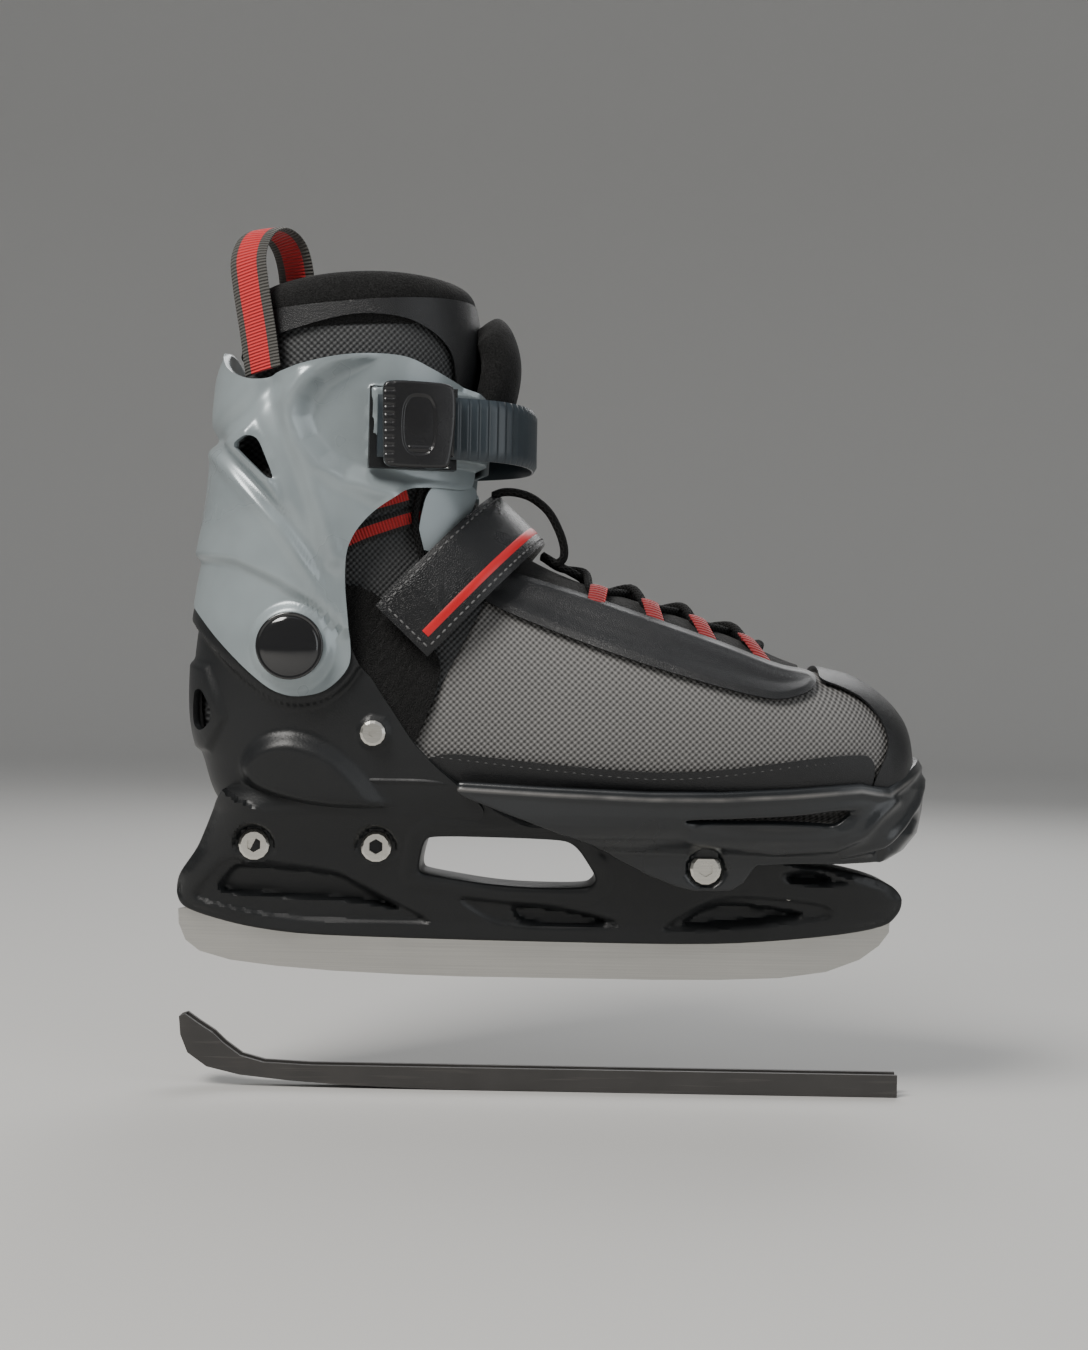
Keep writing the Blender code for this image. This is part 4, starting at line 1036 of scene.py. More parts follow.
def stitches(name, path, offset, pitch, length, thick, material):
    """A row of stitches on both sides of the form, spaced evenly along a side-view path."""
    fine = smooth_path(path, 12)
    run = run_along(fine)
    at = np.arange(pitch / 2, run[-1], pitch)
    middle = np.stack([np.interp(at, run, fine[:, k]) for k in (0, 1)], 1)
    ahead = np.stack([np.interp(at + 0.5, run, fine[:, k]) for k in (0, 1)], 1) - middle
    ahead /= np.linalg.norm(ahead, axis=1)[:, None] + 1e-9
    ends = middle[:, None] + ahead[:, None] * np.array([[-length / 2], [length / 2]])
    depth = form_depth(ends[..., 0], ends[..., 1], offset)
    ends, depth = ends[depth.min(1) > 0], depth[depth.min(1) > 0]
    lines, outs = [], []
    for side in (-1, 1):
        line = np.stack([ends[..., 0], side * depth, ends[..., 1]], -1)
        way = unit(line[:, 1] - line[:, 0])[:, None] * length / 2
        lines.append(line.mean(1)[:, None] + way * [[-1], [1]])
        outs.append(np.tile([0, side, 0], (len(line), 1)))
    return pods(name, np.vstack(lines), np.vstack(outs), thick, None, material)


EYESTAY = [(-5, 155.2), (17, 149), (43.8, 140), (70.7, 131), (92.7, 122.6), (104.8, 121.2),
           (106.9, 117.1), (103.4, 112.6), (91.4, 109.3), (75.2, 112.4), (44.1, 121.2),
           (17.3, 130.2), (-10, 140.6), (-22, 147), (-16, 158)]


def seam_crown(spots, points):
    """The leather swells gently between its edges and is pinched along its seam."""
    inside = depth_inside(rounded(EYESTAY), spots)
    return 0.9 * ramp(inside - 2.6, 5) - 0.35 * np.exp(-((inside - 2.2) / 0.6) ** 2)


eyestay = panel("eyestay", EYESTAY, 1.6, 2.0, 8.5, 190, 260, thick=1.2, relief=seam_crown)
TOE_CAP = [(107.8, 117.1), (116, 114.4), (123.9, 110.4), (130.4, 102.9), (133.4, 93.6),
           (126, 78), (124, 60), (200, 60), (200, 140), (112, 140), (108.5, 121)]
toe_cap = panel("toe_cap", TOE_CAP, 1.4, 0.12, 3.2, 110, 260, thick=1.1)
SOLE_BAND = [(-42, 89.5), (4.5, 85.1), (44, 82.5), (70.1, 84), (96.6, 87.8), (112, 90),
             (129, 90.4), (124, 68), (-42, 68)]
sole_band = panel("sole_band", SOLE_BAND, 1.2, 1.2, 8.4, 190, 220, thick=1.0)
front_blend(eyestay, toe_cap, sole_band)
COLLAR = [(-130, 232), (-97.9, 242.5), (-84.8, 246.4), (-67.3, 250.8), (-49.5, 250),
          (-39, 245), (-32.5, 238), (-31.3, 224.7), (-31, 205), (-10, 205), (-10, 275),
          (-130, 275)]
collar = panel("collar_leather", COLLAR, 1.3, 11.5, 14.82, 110, 220, thick=1.1)
ankle_blend(collar)

seams = [("eyestay_stitch_top", [(-2, 151.8), (17, 146), (43.8, 137), (70.7, 128), (92, 119.6),
                                 (103, 118)], 2.3),
         ("eyestay_stitch_low", [(-12, 143.6), (17.3, 132.6), (44.1, 123.4), (75.2, 114.7),
                                 (91.4, 111.6), (101.5, 114)], 2.3),
         ("toe_cap_stitch", [(110, 118), (118, 115.6), (126, 111.3), (132.2, 103.6),
                             (135.2, 93.6), (129, 80)], 2.1),
         ("sole_band_stitch", [(-38, 87), (4.5, 82.8), (44, 80.2), (70.1, 81.8), (96.6, 85.6),
                               (124, 88.6)], 1.9)]
for seam_name, seam, seam_offset in seams:
    front_blend(stitches(seam_name, seam, seam_offset, 3.3, 2.3, 0.75, thread))
ankle_blend(stitches("collar_stitch", [(-108, 241), (-97.9, 244.8), (-84.8, 248.7), (-67.3, 253),
                                       (-49.5, 252.3), (-37.5, 247)], 2.0, 3.3, 2.3, 0.75, thread))

# --- Collar roll and tongue -----------------------------------------------------------------------
# Thick black felt: a soft roll bound over the collar's edge, and the padded tongue that stands up
# in front of it. Both are fuzzy and swallow light.


def build_felt(tree, given):
    """Felt: fine fuzz over slow lumps."""
    place = place_of(tree)
    fuzz = noise(tree, place, 1700.0, 3.0)
    lumps = noise(tree, place, 160.0, 2.0)
    return math_node(tree, "ADD", fuzz, math_node(tree, "MULTIPLY", lumps, 1.4)), fuzz


felting = make_group("felting", [], [("Height", "Float"), ("Fuzz", "Float")], build_felt)


def felt_material(name, color, depth=0.0006):
    """Dull napped cloth with a trace of sheen."""
    material, tree, shader = new_material(name, color, 0.95, Sheen_Weight=0.08,
                                          Sheen_Roughness=0.5, Specular_IOR_Level=0.15)
    nap = use_group(tree, felting)
    tree.links.new(shades(tree, nap.outputs["Fuzz"], 0.35, 0.7, dimmed(color, 0.5),
                          dimmed(color, 1.8)), shader.inputs["Base Color"])
    bump(tree, shader, nap.outputs["Height"], depth)
    return material


felt = felt_material("black_felt", (0.012, 0.012, 0.012))
grey_felt = felt_material("grey_felt", (0.05, 0.05, 0.052))
ROLL = 4.2                                         # half thickness of the collar roll
top_low, top_high, _ = form_rows(0.0, 14.4, 15)
climb = unit(top_low[-1] + top_high[-1] - top_low[0] - top_high[0])


def collar_row(offset, height):
    """The collar's own edge line, moved in by an offset and up along the boot's axis."""
    row = form_grid(offset, 14.9, 15)[-1]
    lift = 4.0 * np.sin(np.pi * np.clip((row[:, 0] + 110) / 84, 0, 1)) * min(height + 20, 20) / 20
    return row + np.stack([climb[0] * height + 0 * lift, 0 * lift, climb[1] * height + lift], 1)


roll_rows = [collar_row(0.4, -14), collar_row(0.8, -9), collar_row(2.0, -6)]
roll_rows += [collar_row(-ROLL + 1.6 + (ROLL + 0.8) * np.cos(a), -3 + ROLL * 1.5 * np.sin(a))
              for a in np.linspace(0, np.pi, 13)]
roll_rows += [collar_row(-ROLL * 2 + 1.2 - 0.4 * k, -3 - 8 * k) for k in range(1, 5)]
roll_rows += [collar_row(-6.0, -42), collar_row(-2.5, -42), collar_row(-0.5, -36),
              collar_row(-0.4, -14)]
roll_grid = np.array(roll_rows + [roll_rows[0]])
roll = new_piece("collar_roll", roll_grid.reshape(-1, 3),
                 grid_faces(len(roll_grid), roll_grid.shape[1], wrap=True)[:, ::-1], None, felt)
weld(roll, 1e-5)
ankle_blend(roll)

TONGUE = [(-24, 200), (-19.5, 213), (-15.3, 227), (-14.2, 238), (-17, 247.5), (-22, 252)]
tongue_line = smooth_path(TONGUE, 10)
ahead = unit(np.gradient(tongue_line, axis=0))
out = np.stack([ahead[:, 1], -ahead[:, 0]], 1)
ACROSS = 25                                        # points across the tongue
across = np.linspace(-1, 1, ACROSS)
loops = []
ends = np.linspace(0, 1, len(tongue_line))
for spot, way, end in zip(tongue_line, out, ends):
    width = 19.0 * (1 - 0.35 * ramp(end - 0.72, 0.28) ** 2) * (1 if 0 < end < 1 else 0.9)
    swell = 7.6 * np.sqrt(max(1 - max(end - 0.86, 0) ** 2 / 0.14 ** 2 * 0.98, 0.02))
    swell *= 1 if end > 0.06 else 0.55
    top = (1 - np.abs(across) ** 3.2) ** 0.55
    sag = 3.0 * (1 - across ** 2)
    front = [(spot[0] + way[0] * (sag[k] - 3 + swell * top[k]), across[k] * width,
              spot[1] + way[1] * (sag[k] - 3 + swell * top[k])) for k in range(ACROSS)]
    rear = [(spot[0] + way[0] * (sag[k] - 3 - swell * top[k]), across[k] * width,
             spot[1] + way[1] * (sag[k] - 3 - swell * top[k])) for k in range(ACROSS - 2, 0, -1)]
    loops.append(front + rear)
loops = np.array(loops)
tip, root = loops[-1].mean(0), loops[0].mean(0)
loops = np.concatenate([[root + (loops[0] - root) * s for s in (0, 0.5, 0.8)], loops,
                        [tip + (loops[-1] - tip) * s for s in (0.8, 0.5, 0)]])
tongue = new_piece("tongue_pad", loops.reshape(-1, 3),
                   grid_faces(len(loops), loops.shape[1], wrap=True), "ankle", felt)
weld(tongue, 1e-5)
stands_for(tongue, "felt", "tongue")

# --- Pull loop and webbing ------------------------------------------------------------------------
# Ribbed polyester webbing, red with dark borders: the loop that pulls the boot on, and tapes across
# the front of the ankle with the end of the lace lying over them.


def band(name, path, across, half_width, thickness, body, material, crown=0.0, columns=9,
         relief=None):
    """A flat strap: a line across the path, crowned by a parabola, with a rounded edge and a back.

    U runs along in millimetres, V from -1 to 1 across. Relief lifts the outer side by U."""
    path = np.asarray(path, float)
    across = np.broadcast_to(np.asarray(across, float), path.shape)
    ahead = unit(np.gradient(path, axis=0))
    across = unit(across - ahead * (across * ahead).sum(1)[:, None])
    out = np.cross(ahead, across)
    run = run_along(path)
    v = np.linspace(-1, 1, columns)
    lift = crown * (1 - v ** 2)
    round_in = np.array([0.5] + [0.0] * (columns - 2) + [0.5]) * min(thickness, 1.2)
    extra = relief(run) if relief else np.zeros(len(run))
    front = (path[:, None] + across[:, None] * (v * half_width)[None, :, None]
             + out[:, None] * (thickness / 2 + lift - round_in
                               + extra[:, None] * (np.abs(v) < 0.93))[..., None])
    back = (path[:, None] + across[:, None] * (v[::-1] * half_width)[None, :, None]
            - out[:, None] * (thickness / 2 - lift[::-1] - round_in)[None, :, None])
    loops = np.concatenate([front, back], 1)
    count = 2 * columns
    faces = [tuple(f) for f in grid_faces(len(path), count, wrap=True)]
    end = (len(path) - 1) * count
    faces += [tuple(range(count - 1, -1, -1)), tuple(range(end, end + count))]
    uv = np.stack([np.repeat(run, count), np.tile(np.concatenate([v, v[::-1]]), len(path))], 1)
    obj = new_piece(name, loops.reshape(-1, 3), faces, body, material, uv)
    mesh = bmesh.new()
    mesh.from_mesh(obj.data)
    bmesh.ops.recalc_face_normals(mesh, faces=mesh.faces)
    mesh.to_mesh(obj.data)
    mesh.free()
    obj.data.set_sharp_from_angle(angle=np.radians(50))
    return obj


def build_webbing(tree, given):
    """Webbing: cross ribs along U, and a middle band in one colour between two borders."""
    split = add_node(tree, "SeparateXYZ", i0=add_node(tree, "UVMap").outputs[0])
    ribs = math_node(tree, "SINE", math_node(tree, "MULTIPLY", split.outputs[0],
                                             given["Rib rate"]))
    edge = graded(tree, math_node(tree, "ABSOLUTE", split.outputs[1]), 0.54, 0.58)
    place = place_of(tree)
    dust = noise(tree, place, 900.0, 2.0)
    pick = add_node(tree, "Mix", {"data_type": "RGBA"}, i0=edge,
                    i6=given["Middle"], i7=given["Border"])
    shade = add_node(tree, "Mix", {"data_type": "RGBA", "blend_type": "MULTIPLY"}, i0=1.0,
                     i6=pick.outputs[2])
    # Painted shade and highlight: darker in the rib hollows, lighter on the crests, and uneven with
    # dust.
    rib_shade_and_dust = graded(tree, math_node(tree, "ADD", ribs, dust), -0.9, 0.9, 0.55, 1.1)
    tree.links.new(rib_shade_and_dust, shade.inputs[7])
    return shade.outputs[2], ribs


webbing = make_group("webbing_ribs", [("Rib rate", "Float", 5.2), ("Middle", "Color", (1, 0, 0, 1)),
                                      ("Border", "Color", (0, 0, 0, 1))],
                     [("Color", "Color"), ("Height", "Float")], build_webbing)


def webbing_material(name, middle, border, rate=5.2):
    """Ribbed webbing in two colours, with painted shade in the rib hollows."""
    material, tree, shader = new_material(name, middle, 0.72, Sheen_Weight=0.2)
    cloth = use_group(tree, webbing, Rib_rate=rate, Middle=(*middle, 1), Border=(*border, 1))
    tree.links.new(cloth.outputs["Color"], shader.inputs["Base Color"])
    bump(tree, shader, cloth.outputs["Height"], 0.00025)
    return material


RED, OLIVE = (0.62, 0.012, 0.016), (0.055, 0.052, 0.045)
loop_webbing = webbing_material("red_olive_webbing", RED, OLIVE)
tape_webbing = webbing_material("red_black_webbing", (0.5, 0.012, 0.014), (0.01, 0.01, 0.01))
LOOP_TURN = np.radians(56.5)
local = smooth_path([(-3, 229), (-3.2, 245), (-3.8, 260), (-3, 272), (2, 281), (9, 283.5),
                     (16, 279), (20.5, 268), (22, 255), (22.5, 240)], 8)
sway = np.interp(local[:, 0], [-4, 10, 22], [1, 0.2, -0.5]) * (local[:, 1] - 258) * 0.2
loop_line = np.stack([-105 + local[:, 0] * np.cos(LOOP_TURN) - sway * np.sin(LOOP_TURN),
                      -32 + local[:, 0] * np.sin(LOOP_TURN) + sway * np.cos(LOOP_TURN),
                      local[:, 1]], 1)
pull = band("pull_webbing", loop_line, (-np.sin(LOOP_TURN), np.cos(LOOP_TURN), 0), 8.6, 1.5,
            "ankle", loop_webbing, crown=0.5)
stands_for(pull, "red_webbing", "pull_loop")


def on_form(path, offset, side=-1, steps=10):
    """A side-view path laid on the boot's form, and the surface's outward normals along it."""
    fine = smooth_path(path, steps)
    x, z = fine.T
    y = form_depth(x, z, offset)
    dx = (form_depth(x + 0.8, z, offset) - form_depth(x - 0.8, z, offset)) / 1.6
    dz = (form_depth(x, z + 0.8, offset) - form_depth(x, z - 0.8, offset)) / 1.6
    normal = np.stack([-dx, side * np.ones_like(y), -dz], 1)
    return np.stack([x, side * y, z], 1), unit(normal)


LOW_TAPE = [(-75, 163.5), (-66, 168.5), (-56, 172.5), (-46, 176), (-36, 178)]
HIGH_TAPE = [(-62, 180), (-56, 181.8), (-48, 184.5)]
for number, (side, path) in enumerate([(-1, LOW_TAPE), (1, LOW_TAPE), (-1, HIGH_TAPE)]):
    line, normal = on_form(path, 1.2, side)
    ahead = np.gradient(line, axis=0)
    tape = band("ankle_tape_" + str(number + 1), line, np.cross(normal, ahead), 3.6, 0.9, "ankle",
                tape_webbing)
    stands_for(tape, "red_webbing", "ankle_boot")
line, normal = on_form([(-43, 187.5), (-44.6, 180), (-44.8, 173), (-43, 165), (-41.5, 160)], 3.4)
lace_end = tube("lace_end", line, LACE_WIDTH / 2 - 0.2, "ankle", lace_black)
stands_for(lace_end, "lace_cord", "ankle_boot")

# --- Instep strap ---------------------------------------------------------------------------------
# A hook-and-loop strap of coated leather over the instep, stitched all round, with a red stripe
# along its lower side. Below its end the fuzzy half of the hook and loop shows.


INSTEP_AT = np.array([-47.2, 0, 134.7])
INSTEP_UP, INSTEP_ACROSS = np.array([0.689, 0, 0.725]), np.array([-0.725, 0, 0.689])
STRAP_HALF, STRAP_THICK, STRAP_CROWN = 13.5, 2.2, 0.25
side_line = smooth_path([(-2, -42.6), (14, -42.8), (30, -40.2), (42, -34.4), (52, -24.6),
                         (58, -12), (59.5, 0)], 12)
full_line = np.vstack([side_line, (side_line * [1, -1])[-2::-1]])
strap_line = INSTEP_AT + full_line[:, :1] * INSTEP_UP + full_line[:, 1:] * [0, 1, 0]
strap = band("instep_leather", strap_line, INSTEP_ACROSS, STRAP_HALF, STRAP_THICK, "chassis",
             leather_material("strap_leather", (0.012, 0.0125, 0.0135), 0.22, 0.34),
             crown=STRAP_CROWN, columns=13)
stands_for(strap, "leather", "instep_strap")
strap_out = np.cross(unit(np.gradient(strap_line, axis=0)), INSTEP_ACROSS)
if strap_out[0, 1] > 0:
    strap_out = -strap_out
strap_run = run_along(strap_line)


def on_strap(run, across, lift):
    """A place on the strap: its line at that length, moved across and out of the surface."""
    run, across = np.atleast_1d(run), np.atleast_1d(across)
    middle = np.stack([np.interp(run, strap_run, strap_line[:, k]) for k in range(3)], 1)
    out = np.stack([np.interp(run, strap_run, strap_out[:, k]) for k in range(3)], 1)
    crown = STRAP_CROWN * (1 - (across / STRAP_HALF) ** 2)
    above = (STRAP_THICK / 2 + crown + lift)[:, None]
    return middle + across[:, None] * INSTEP_ACROSS + out * above, out


stripe_run = np.linspace(5.5, strap_run[-1] - 5.5, 120)
stripe_line, _ = on_strap(stripe_run, np.full(120, -7.0), np.full(120, 0.0))
red_film = moulded("red_film", (0.60, 0.012, 0.018), 0.3, 0.42, 0.0)
stripe = band("instep_stripe", stripe_line, INSTEP_ACROSS, 1.65, 0.5, "chassis", red_film,
              columns=5)
stands_for(stripe, "red_webbing", "instep_strap")
length = strap_run[-1]
ends = []
for across in (-11.3, 11.3):
    starts = np.arange(4.0, length - 4.0, 3.0)
    ends += [(s, across, s + 2.0, across) for s in starts]
for at in (2.6, length - 2.6):
    ends += [(at, a, at, a + 2.0) for a in np.arange(-10.8, 9.0, 3.0)]
ends = np.array(ends)
first, out = on_strap(ends[:, 0], ends[:, 1], np.zeros(len(ends)))
second, _ = on_strap(ends[:, 2], ends[:, 3], np.zeros(len(ends)))
grey_thread = new_material("grey_thread", (0.12, 0.12, 0.12), 0.55)[0]
strap_seam = pods("instep_stitching", np.stack([first, second], 1), out, 0.8, "chassis",
                  grey_thread)
stands_for(strap_seam, "leather", "instep_strap")
fuzzy = felt_material("loop_pile", (0.010, 0.010, 0.010), 0.0022)


def pile_relief(spots, points):
    """Lumpy pile: two crossed waves, each bent by a third."""
    x, z = spots.T
    return 0.5 * np.sin(x * 1.9 + np.sin(z * 1.3)) * np.sin(z * 2.3 + 1.7 * np.sin(x * 0.9))


patch = panel("loop_patch", [(-72, 152), (-58, 147), (-40, 131), (-33, 121), (-38, 104),
                             (-46, 86), (-74, 86), (-78, 120)], 1.2, 6.0, 11.5, 130, 240,
              thick=1.2, relief=pile_relief, material=fuzzy)
front_blend(patch)

# --- Buckle and ratchet strap ---------------------------------------------------------------------
# A nylon strap with ribs across it runs from the inner side round the front into the buckle. The
# buckle's black lever has a sunk panel and a curved front edge.

BUCKLE_AT, BUCKLE_TURN = np.array([-33.0, -48.5]), np.radians(12)
STRAP_HEIGHT, TOOTH = 208.0, 3.8                   # middle of the ratchet strap, one tooth's length


def buckle_place(x, y):
    """A point of the buckle's own frame in the part's X and Y."""
    return np.stack([BUCKLE_AT[0] + x * np.cos(BUCKLE_TURN) - y * np.sin(BUCKLE_TURN),
                     BUCKLE_AT[1] + x * np.sin(BUCKLE_TURN) + y * np.cos(BUCKLE_TURN)], -1)


lever_x, lever_z = np.meshgrid(np.linspace(-25, 3.6, 100), np.linspace(190.5, 225.5, 120),
                               indexing="ij")
bow = 0.7 * np.cos((lever_x + 11) / 14 * np.pi / 2) + 0.35 * np.cos((lever_z - 208) / 17 * 1.5)
spot = buckle_place(lever_x, -5.9 - bow)
lever_grid = np.stack([spot[..., 0], spot[..., 1], lever_z], -1)
face = np.array([np.sin(BUCKLE_TURN), -np.cos(BUCKLE_TURN), 0])
lever_spots = np.stack([lever_x, lever_z], -1)
LEVER = [(-23.5, 192.8), (-23.8, 200), (-24.2, 216), (-24.3, 222.6), (-21, 223.8), (-8, 223.6),
         (0.5, 223.2), (2.4, 220), (2.5, 208), (0.6, 193.2), (-2, 192.2), (-18, 192.2)]


def lever_relief(spots, points):
    """A sunk panel with a raised bar at its foot."""
    panel_in = depth_inside(rounded([(-17.5, 196.5), (-17.5, 219), (-4.5, 219), (-4.5, 196.5)]),
                            spots)
    bar = depth_inside([(-14.5, 198.6), (-14.5, 199.8), (-7, 199.8), (-7, 198.6)], spots)
    grip = 0.35 * np.maximum(np.sin((spots[:, 1] - 208) * 2.2), 0) * ramp(-19.5 - spots[:, 0], 1.5)
    return -0.7 * ramp(panel_in, 1.0) + 0.5 * ramp(bar + 0.5, 0.7) - grip


lever = cut_sheet("lever_plate", lever_grid, np.broadcast_to(face, lever_grid.shape), lever_spots,
                  rounded(LEVER), [], lever_relief, 1.1, "lever",
                  moulded("lever_black", (0.012, 0.012, 0.013), 0.2, 0.34, 0.00004, 1500.0,
                          Coat_Weight=0.15, Coat_Roughness=0.2), 2.6, wrap=False)
stands_for(lever, "buckle_plastic", "buckle_lever")
barrel_turn = np.linspace(0, 2 * np.pi, 24, endpoint=False)
rows = []
for z, r in ((197, 0.02), (197, 2.4), (197.5, 2.8), (218.5, 2.8), (219, 2.4), (219, 0.02)):
    rows.append(np.stack([*buckle_place(r * np.cos(barrel_turn),
                                        -1.2 + r * 1.1 * np.sin(barrel_turn)).T,
                          np.full(24, z)], 1))
barrel = new_piece("lever_barrel", np.array(rows).reshape(-1, 3), grid_faces(6, 24, True), "lever",
                   lever.data.materials[0])
weld(barrel, 1e-4)
barrel.data.set_sharp_from_angle(angle=np.radians(50))
stands_for(barrel, "buckle_plastic", "buckle_lever")

inner = [tuple(buckle_place(np.float64(x), np.float64(y))) for x, y in
         ((-25, 3.4), (-12, 3.4), (0, 3.3), (8, 4.0))]
ratchet_path = smooth_path(inner + [(-14, -36.5), (-6, -25), (-2.4, -12), (-1.6, 0), (-2.4, 11),
                                    (-7, 23), (-16, 32), (-28, 39.6), (-40, 44.4), (-52, 47.4),
                                    (-64, 49.2)], 40)
gaps = run_along(ratchet_path)
at = np.arange(0, gaps[-1], 0.42)
ratchet_path = np.stack([np.interp(at, gaps, ratchet_path[:, 0]),
                         np.interp(at, gaps, ratchet_path[:, 1]),
                         np.full(len(at), STRAP_HEIGHT)], 1)


def teeth(run):
    """Ratchet teeth: each rises slowly and drops off, dying out at the far end."""
    phase = (run / TOOTH) % 1
    tooth = np.where(phase < 0.8, phase / 0.8, (1 - phase) / 0.2)
    return 0.75 * tooth * ramp(run[-1] - 42 - run, 8)


blue_nylon = moulded("strap_nylon", (0.022, 0.032, 0.040), 0.26, 0.4, 0.00004, 1200.0,
                     Coat_Weight=0.15, Coat_Roughness=0.25)
ratchet = band("ratchet_band", ratchet_path, (0, 0, 1), 11.4, 1.8, "ankle", blue_nylon, columns=11,
               relief=teeth)
stands_for(ratchet, "strap_plastic", "ratchet_strap")

# --- Wing of the cuff -----------------------------------------------------------------------------
# A thin tongue of the same silver plastic that hangs from the cuff's front arm, inside the strap,
# and keeps the strap off the boot.

WING = [(-41, 190), (-44.5, 170), (-43, 163.5), (-37, 163), (-29, 172), (-24.5, 180), (-23, 190)]
wing = cut_sheet("cuff_wing", *form_sheet(2.6, 8.0, 12.5, 120, 260), rounded(WING), [], None, 0.7,
                 "ankle", silver, 1.6)
stands_for(wing, "cuff_plastic", "cuff")

# --- Pivot caps -----------------------------------------------------------------------------------
# Two glossy black caps cover the ends of the pivot, pushed into the sleeves the cuff swings on.
# Each is a low dome with a thin bevelled rim.

cap_gloss = moulded("cap_gloss", (0.008, 0.008, 0.009), 0.04, 0.12, 0.0, Coat_Weight=0.8,
                    Coat_Roughness=0.04)
CAP_PROFILE = np.array([(0.01, 52.3), (3, 52.2), (6, 51.9), (9, 51.3), (10.4, 50.9), (10.9, 50.6),
                        (11.2, 50.6), (11.7, 50.9), (12.1, 50.8), (12.4, 50.3), (12.4, 48.6),
                        (11.8, 48.3), (6, 48.3), (0.01, 48.3)])        # radius, depth
CAP_SPOKES = 72
turn = np.linspace(0, 2 * np.pi, CAP_SPOKES, endpoint=False)
for label, side in (("outer", -1), ("inner", 1)):
    rings = np.stack([PIVOT[0] + CAP_PROFILE[:, :1] * np.cos(turn),
                      side * CAP_PROFILE[:, 1:] + 0 * turn,
                      PIVOT[1] - side * CAP_PROFILE[:, :1] * np.sin(turn)], 2)
    cap = new_piece(label + "_cap_dome", rings.reshape(-1, 3),
                    grid_faces(len(CAP_PROFILE), CAP_SPOKES, True), "chassis", cap_gloss)
    weld(cap, 0.00003)
    stands_for(cap, "black_shell", label + "_pivot_cap")

# --- Lacing ---------------------------------------------------------------------------------------
# Two runs of round braided lace cross between four pairs of red webbing loops. The loops are short
# folded tapes sewn into the inner edges of the eyestays. Black felt lines the throat between them.

over_low, over_high, over_half = form_rows(0.0, 0.2, 9)
by_place = np.argsort(over_high[:, 0])


def over_foot(x, y, lift):
    """Spot over the foot: find the section whose top lies at this X, go up its oval's edge to this
    Y, and lift it clear along the section."""
    low, high = [np.array([np.interp(x, over_high[by_place, 0], line[by_place, k])
                           for k in (0, 1)]) for line in (over_low, over_high)]
    half = np.interp(x, over_high[by_place, 0], over_half[by_place])
    up = (1 - min(abs(y) / half, 0.99) ** 2.22) ** 0.425
    out = (high - low) / np.linalg.norm(high - low)
    spot = (low + high) / 2 + (high - low) / 2 * up + out * lift
    return np.array([spot[0], y, spot[1]])


loop_red = webbing_material("lace_loop_webbing", (0.62, 0.012, 0.014), (0.3, 0.008, 0.01))
THROAT = [(-16, 156), (-5, 154), (17, 147.8), (43.8, 138.8), (70.7, 129.8), (92, 121.6),
          (103, 120), (103, 150), (-16, 200)]
throat = panel("throat_felt", THROAT, 0.7, 2.0, 8.5, 150, 220, thick=0.6, material=felt)
stands_for(throat, "felt", "front_boot")
stretch_front(throat)

ROWS = (86, 66, 47, 26)
for name, first, lift in (("lace_run_over", -1, 5.6), ("lace_run_under", 1, 2.9)):
    spots, side = [over_foot(87, first * 1.5, 3.4), over_foot(87, first * 10, 3.4)], first
    for row, x in enumerate(ROWS):
        ahead = ROWS[row + 1] if row < 3 else 10
        top = 8.5 - lift if row % 2 else lift
        spots += [over_foot(x, side * 17, 2.9), over_foot(x - 2, side * 19.5, 2.6),
                  over_foot(x - 5, side * 16, 3.0), over_foot((x + ahead) / 2, 0, top)]
        side = -side
    spots += [over_foot(9, side * 6, 4.4), over_foot(1, side * 5, 5.2)]
    run = tube(name, smooth_path(spots, 5), LACE_WIDTH / 2, None, lace_black, 14)
    stands_for(run, "lace_cord", "lace")
    stretch_front(run)

for side, label in ((-1, "outer"), (1, "inner")):
    for row, x in enumerate(ROWS):
        fold_path = smooth_path([over_foot(x - 1.5, side * y, lift) for y, lift in
                                 ((27, 1.6), (25, 3.0), (22, 4.6), (19, 5.2), (17.2, 4.2),
                                  (16.9, 2.6), (18.3, 1.2), (21, 0.7))], 4)
        keeper = tube(label + "_lace_tape_" + str(row + 1), fold_path, 0.75, None, loop_red, 16)
        flat = points_of(keeper.data)
        middle = over_foot(x - 1.5, side * 20, 2) * MM
        along = over_foot(x + 2, side * 20, 2) - over_foot(x - 5, side * 20, 2)
        along = along / np.linalg.norm(along)
        flat += 3.6 * ((flat - middle) @ along)[:, None] * along
        keeper.data.vertices.foreach_set("co", flat.ravel())
        keeper.data.update()
        stands_for(keeper, "red_webbing", label + "_lace_loop_" + str(row + 1))
        stretch_front(keeper)

# --- Metal, small plastic and the guard -----------------------------------------------------------
# The blade, bolts, pins, button, footbeds and guard keep their own solids. The blade is brushed
# along its length, the bolts are nickel, the button is red and the guard is worn rubber.


def build_brushed(tree, given):
    """Brushed metal: noise stretched along one axis, and slow cloudy stains."""
    place = place_of(tree)
    long = add_node(tree, "Mapping", Vector=place, Scale=(18.0, 2500.0, 2500.0)).outputs[0]
    streaks = noise(tree, long, 1.0, 3.0)
    stains = noise(tree, place, 28.0, 4.0)
    return streaks, stains


brushed = make_group("brushed", [], [("Streaks", "Float"), ("Stains", "Float")], build_brushed)


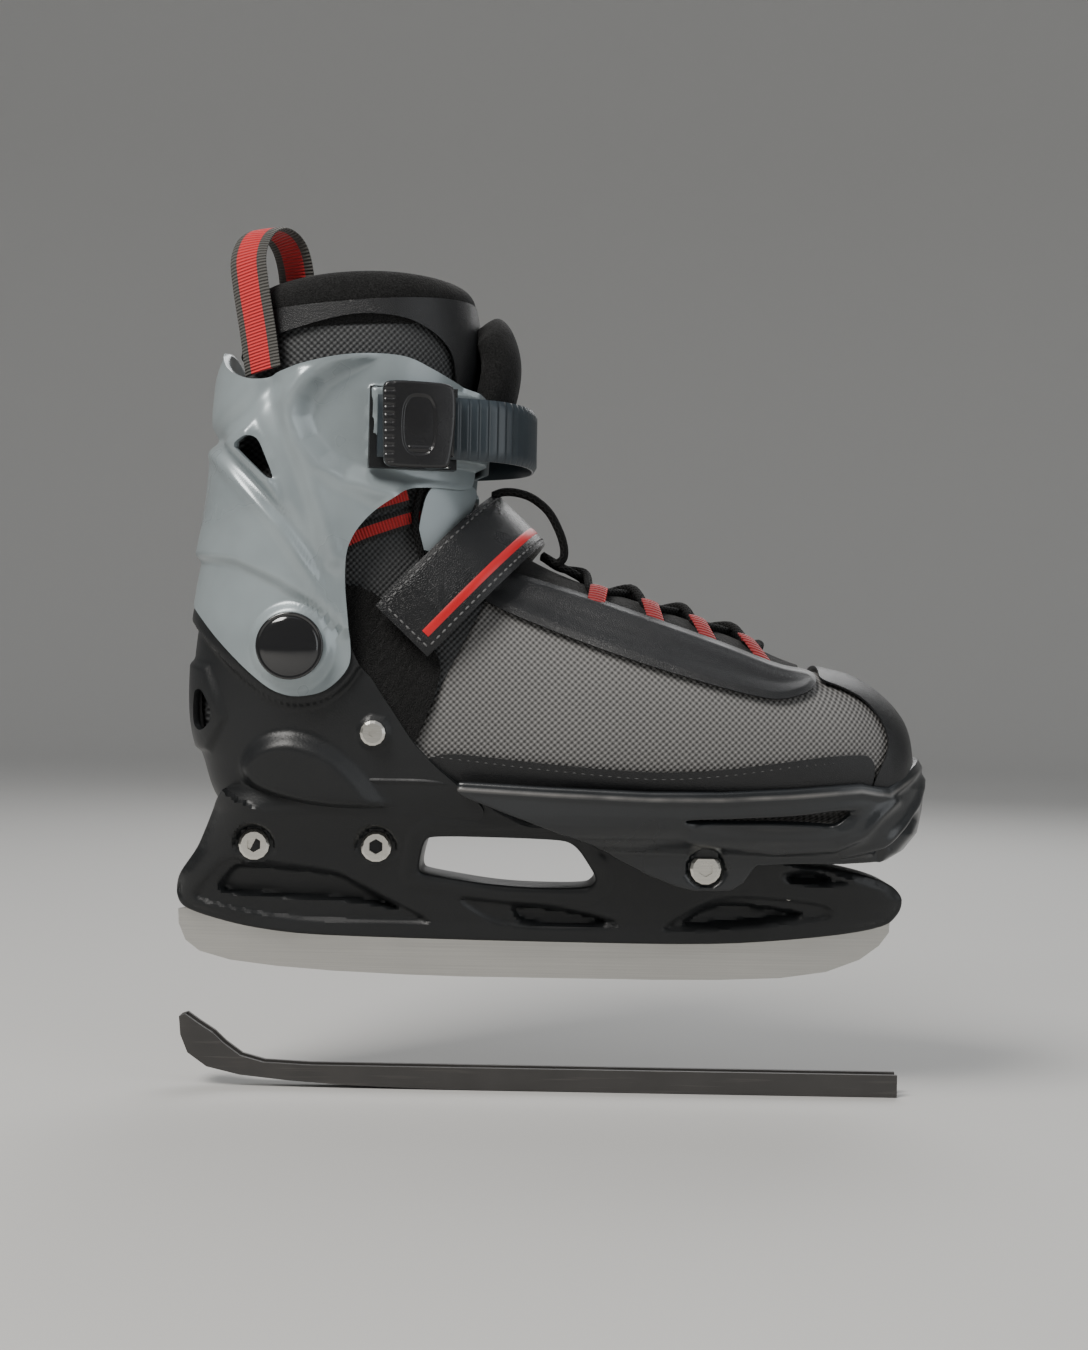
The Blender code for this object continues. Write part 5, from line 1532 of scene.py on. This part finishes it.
def metal_material(name, color, rough_low, rough_high, streak_depth):
    """Metal with fine lengthwise scratches and slightly uneven gloss."""
    material, tree, shader = new_material(name, color, rough_high, 1.0)
    marks = use_group(tree, brushed)
    tree.links.new(graded(tree, marks.outputs["Stains"], 0.3, 0.7, rough_low, rough_high),
                   shader.inputs["Roughness"])
    tree.links.new(shades(tree, marks.outputs["Streaks"], 0.3, 0.75, dimmed(color, 0.86), color),
                   shader.inputs["Base Color"])
    bump(tree, shader, marks.outputs["Streaks"], streak_depth, 0.5)
    return material


steel = metal_material("brushed_steel", (0.62, 0.61, 0.58), 0.26, 0.38, 0.00005)
nickel = metal_material("nickel", (0.80, 0.78, 0.72), 0.2, 0.32, 0.00001)


def build_wear(tree, given):
    """Scuffs: thin pale scratches along the length, and dust in slow patches."""
    place = place_of(tree)
    long = add_node(tree, "Mapping", Vector=place, Scale=(30.0, 700.0, 700.0)).outputs[0]
    scratches = noise(tree, long, 1.0, 5.0)
    fine = graded(tree, scratches, 0.58, 0.72)
    dust = noise(tree, place, 55.0, 5.0)
    both = math_node(tree, "ADD", math_node(tree, "MULTIPLY", fine, 0.5),
                     math_node(tree, "MULTIPLY", dust, 0.6))
    return [add_node(tree, "Clamp", i0=both).outputs[0]]


scuffs = make_group("scuffs", [], [("Mask", "Float")], build_wear)


def scuffed(name, dark, pale, roughness):
    """Matt plastic or rubber, dusty and scratched."""
    material, tree, shader = new_material(name, dark, roughness)
    marks = use_group(tree, scuffs)
    mixed = add_node(tree, "Mix", {"data_type": "RGBA"}, i0=marks.outputs["Mask"], i6=(*dark, 1),
                     i7=(*pale, 1))
    tree.links.new(mixed.outputs[2], shader.inputs["Base Color"])
    bump(tree, shader, marks.outputs["Mask"], 0.00025, 0.5)
    return material


guard_rubber = scuffed("guard_rubber", (0.026, 0.025, 0.024), (0.075, 0.07, 0.066), 0.42)
red_plastic = moulded("red_plastic", (0.5, 0.01, 0.01), 0.3, 0.4, 0.0)
finishes = {
    "blade": steel, "blade_guard": guard_rubber, "release_button": red_plastic,
    "footbed_toe": grey_felt, "footbed_heel": grey_felt,
    "buckle_base": black, "strap_pawl": nickel, "button_spring": nickel,
    "outer_pivot_sleeve": nickel, "inner_pivot_sleeve": nickel}
for obj in [o for o in bpy.data.objects if o.type == "MESH"]:
    name = obj.name
    if name in finishes:
        finish = finishes[name]
    elif name.endswith(("_bolt", "_nut", "_pin", "_screw")):
        finish = nickel
    else:
        continue
    obj.data.materials.clear()
    obj.data.materials.append(finish)
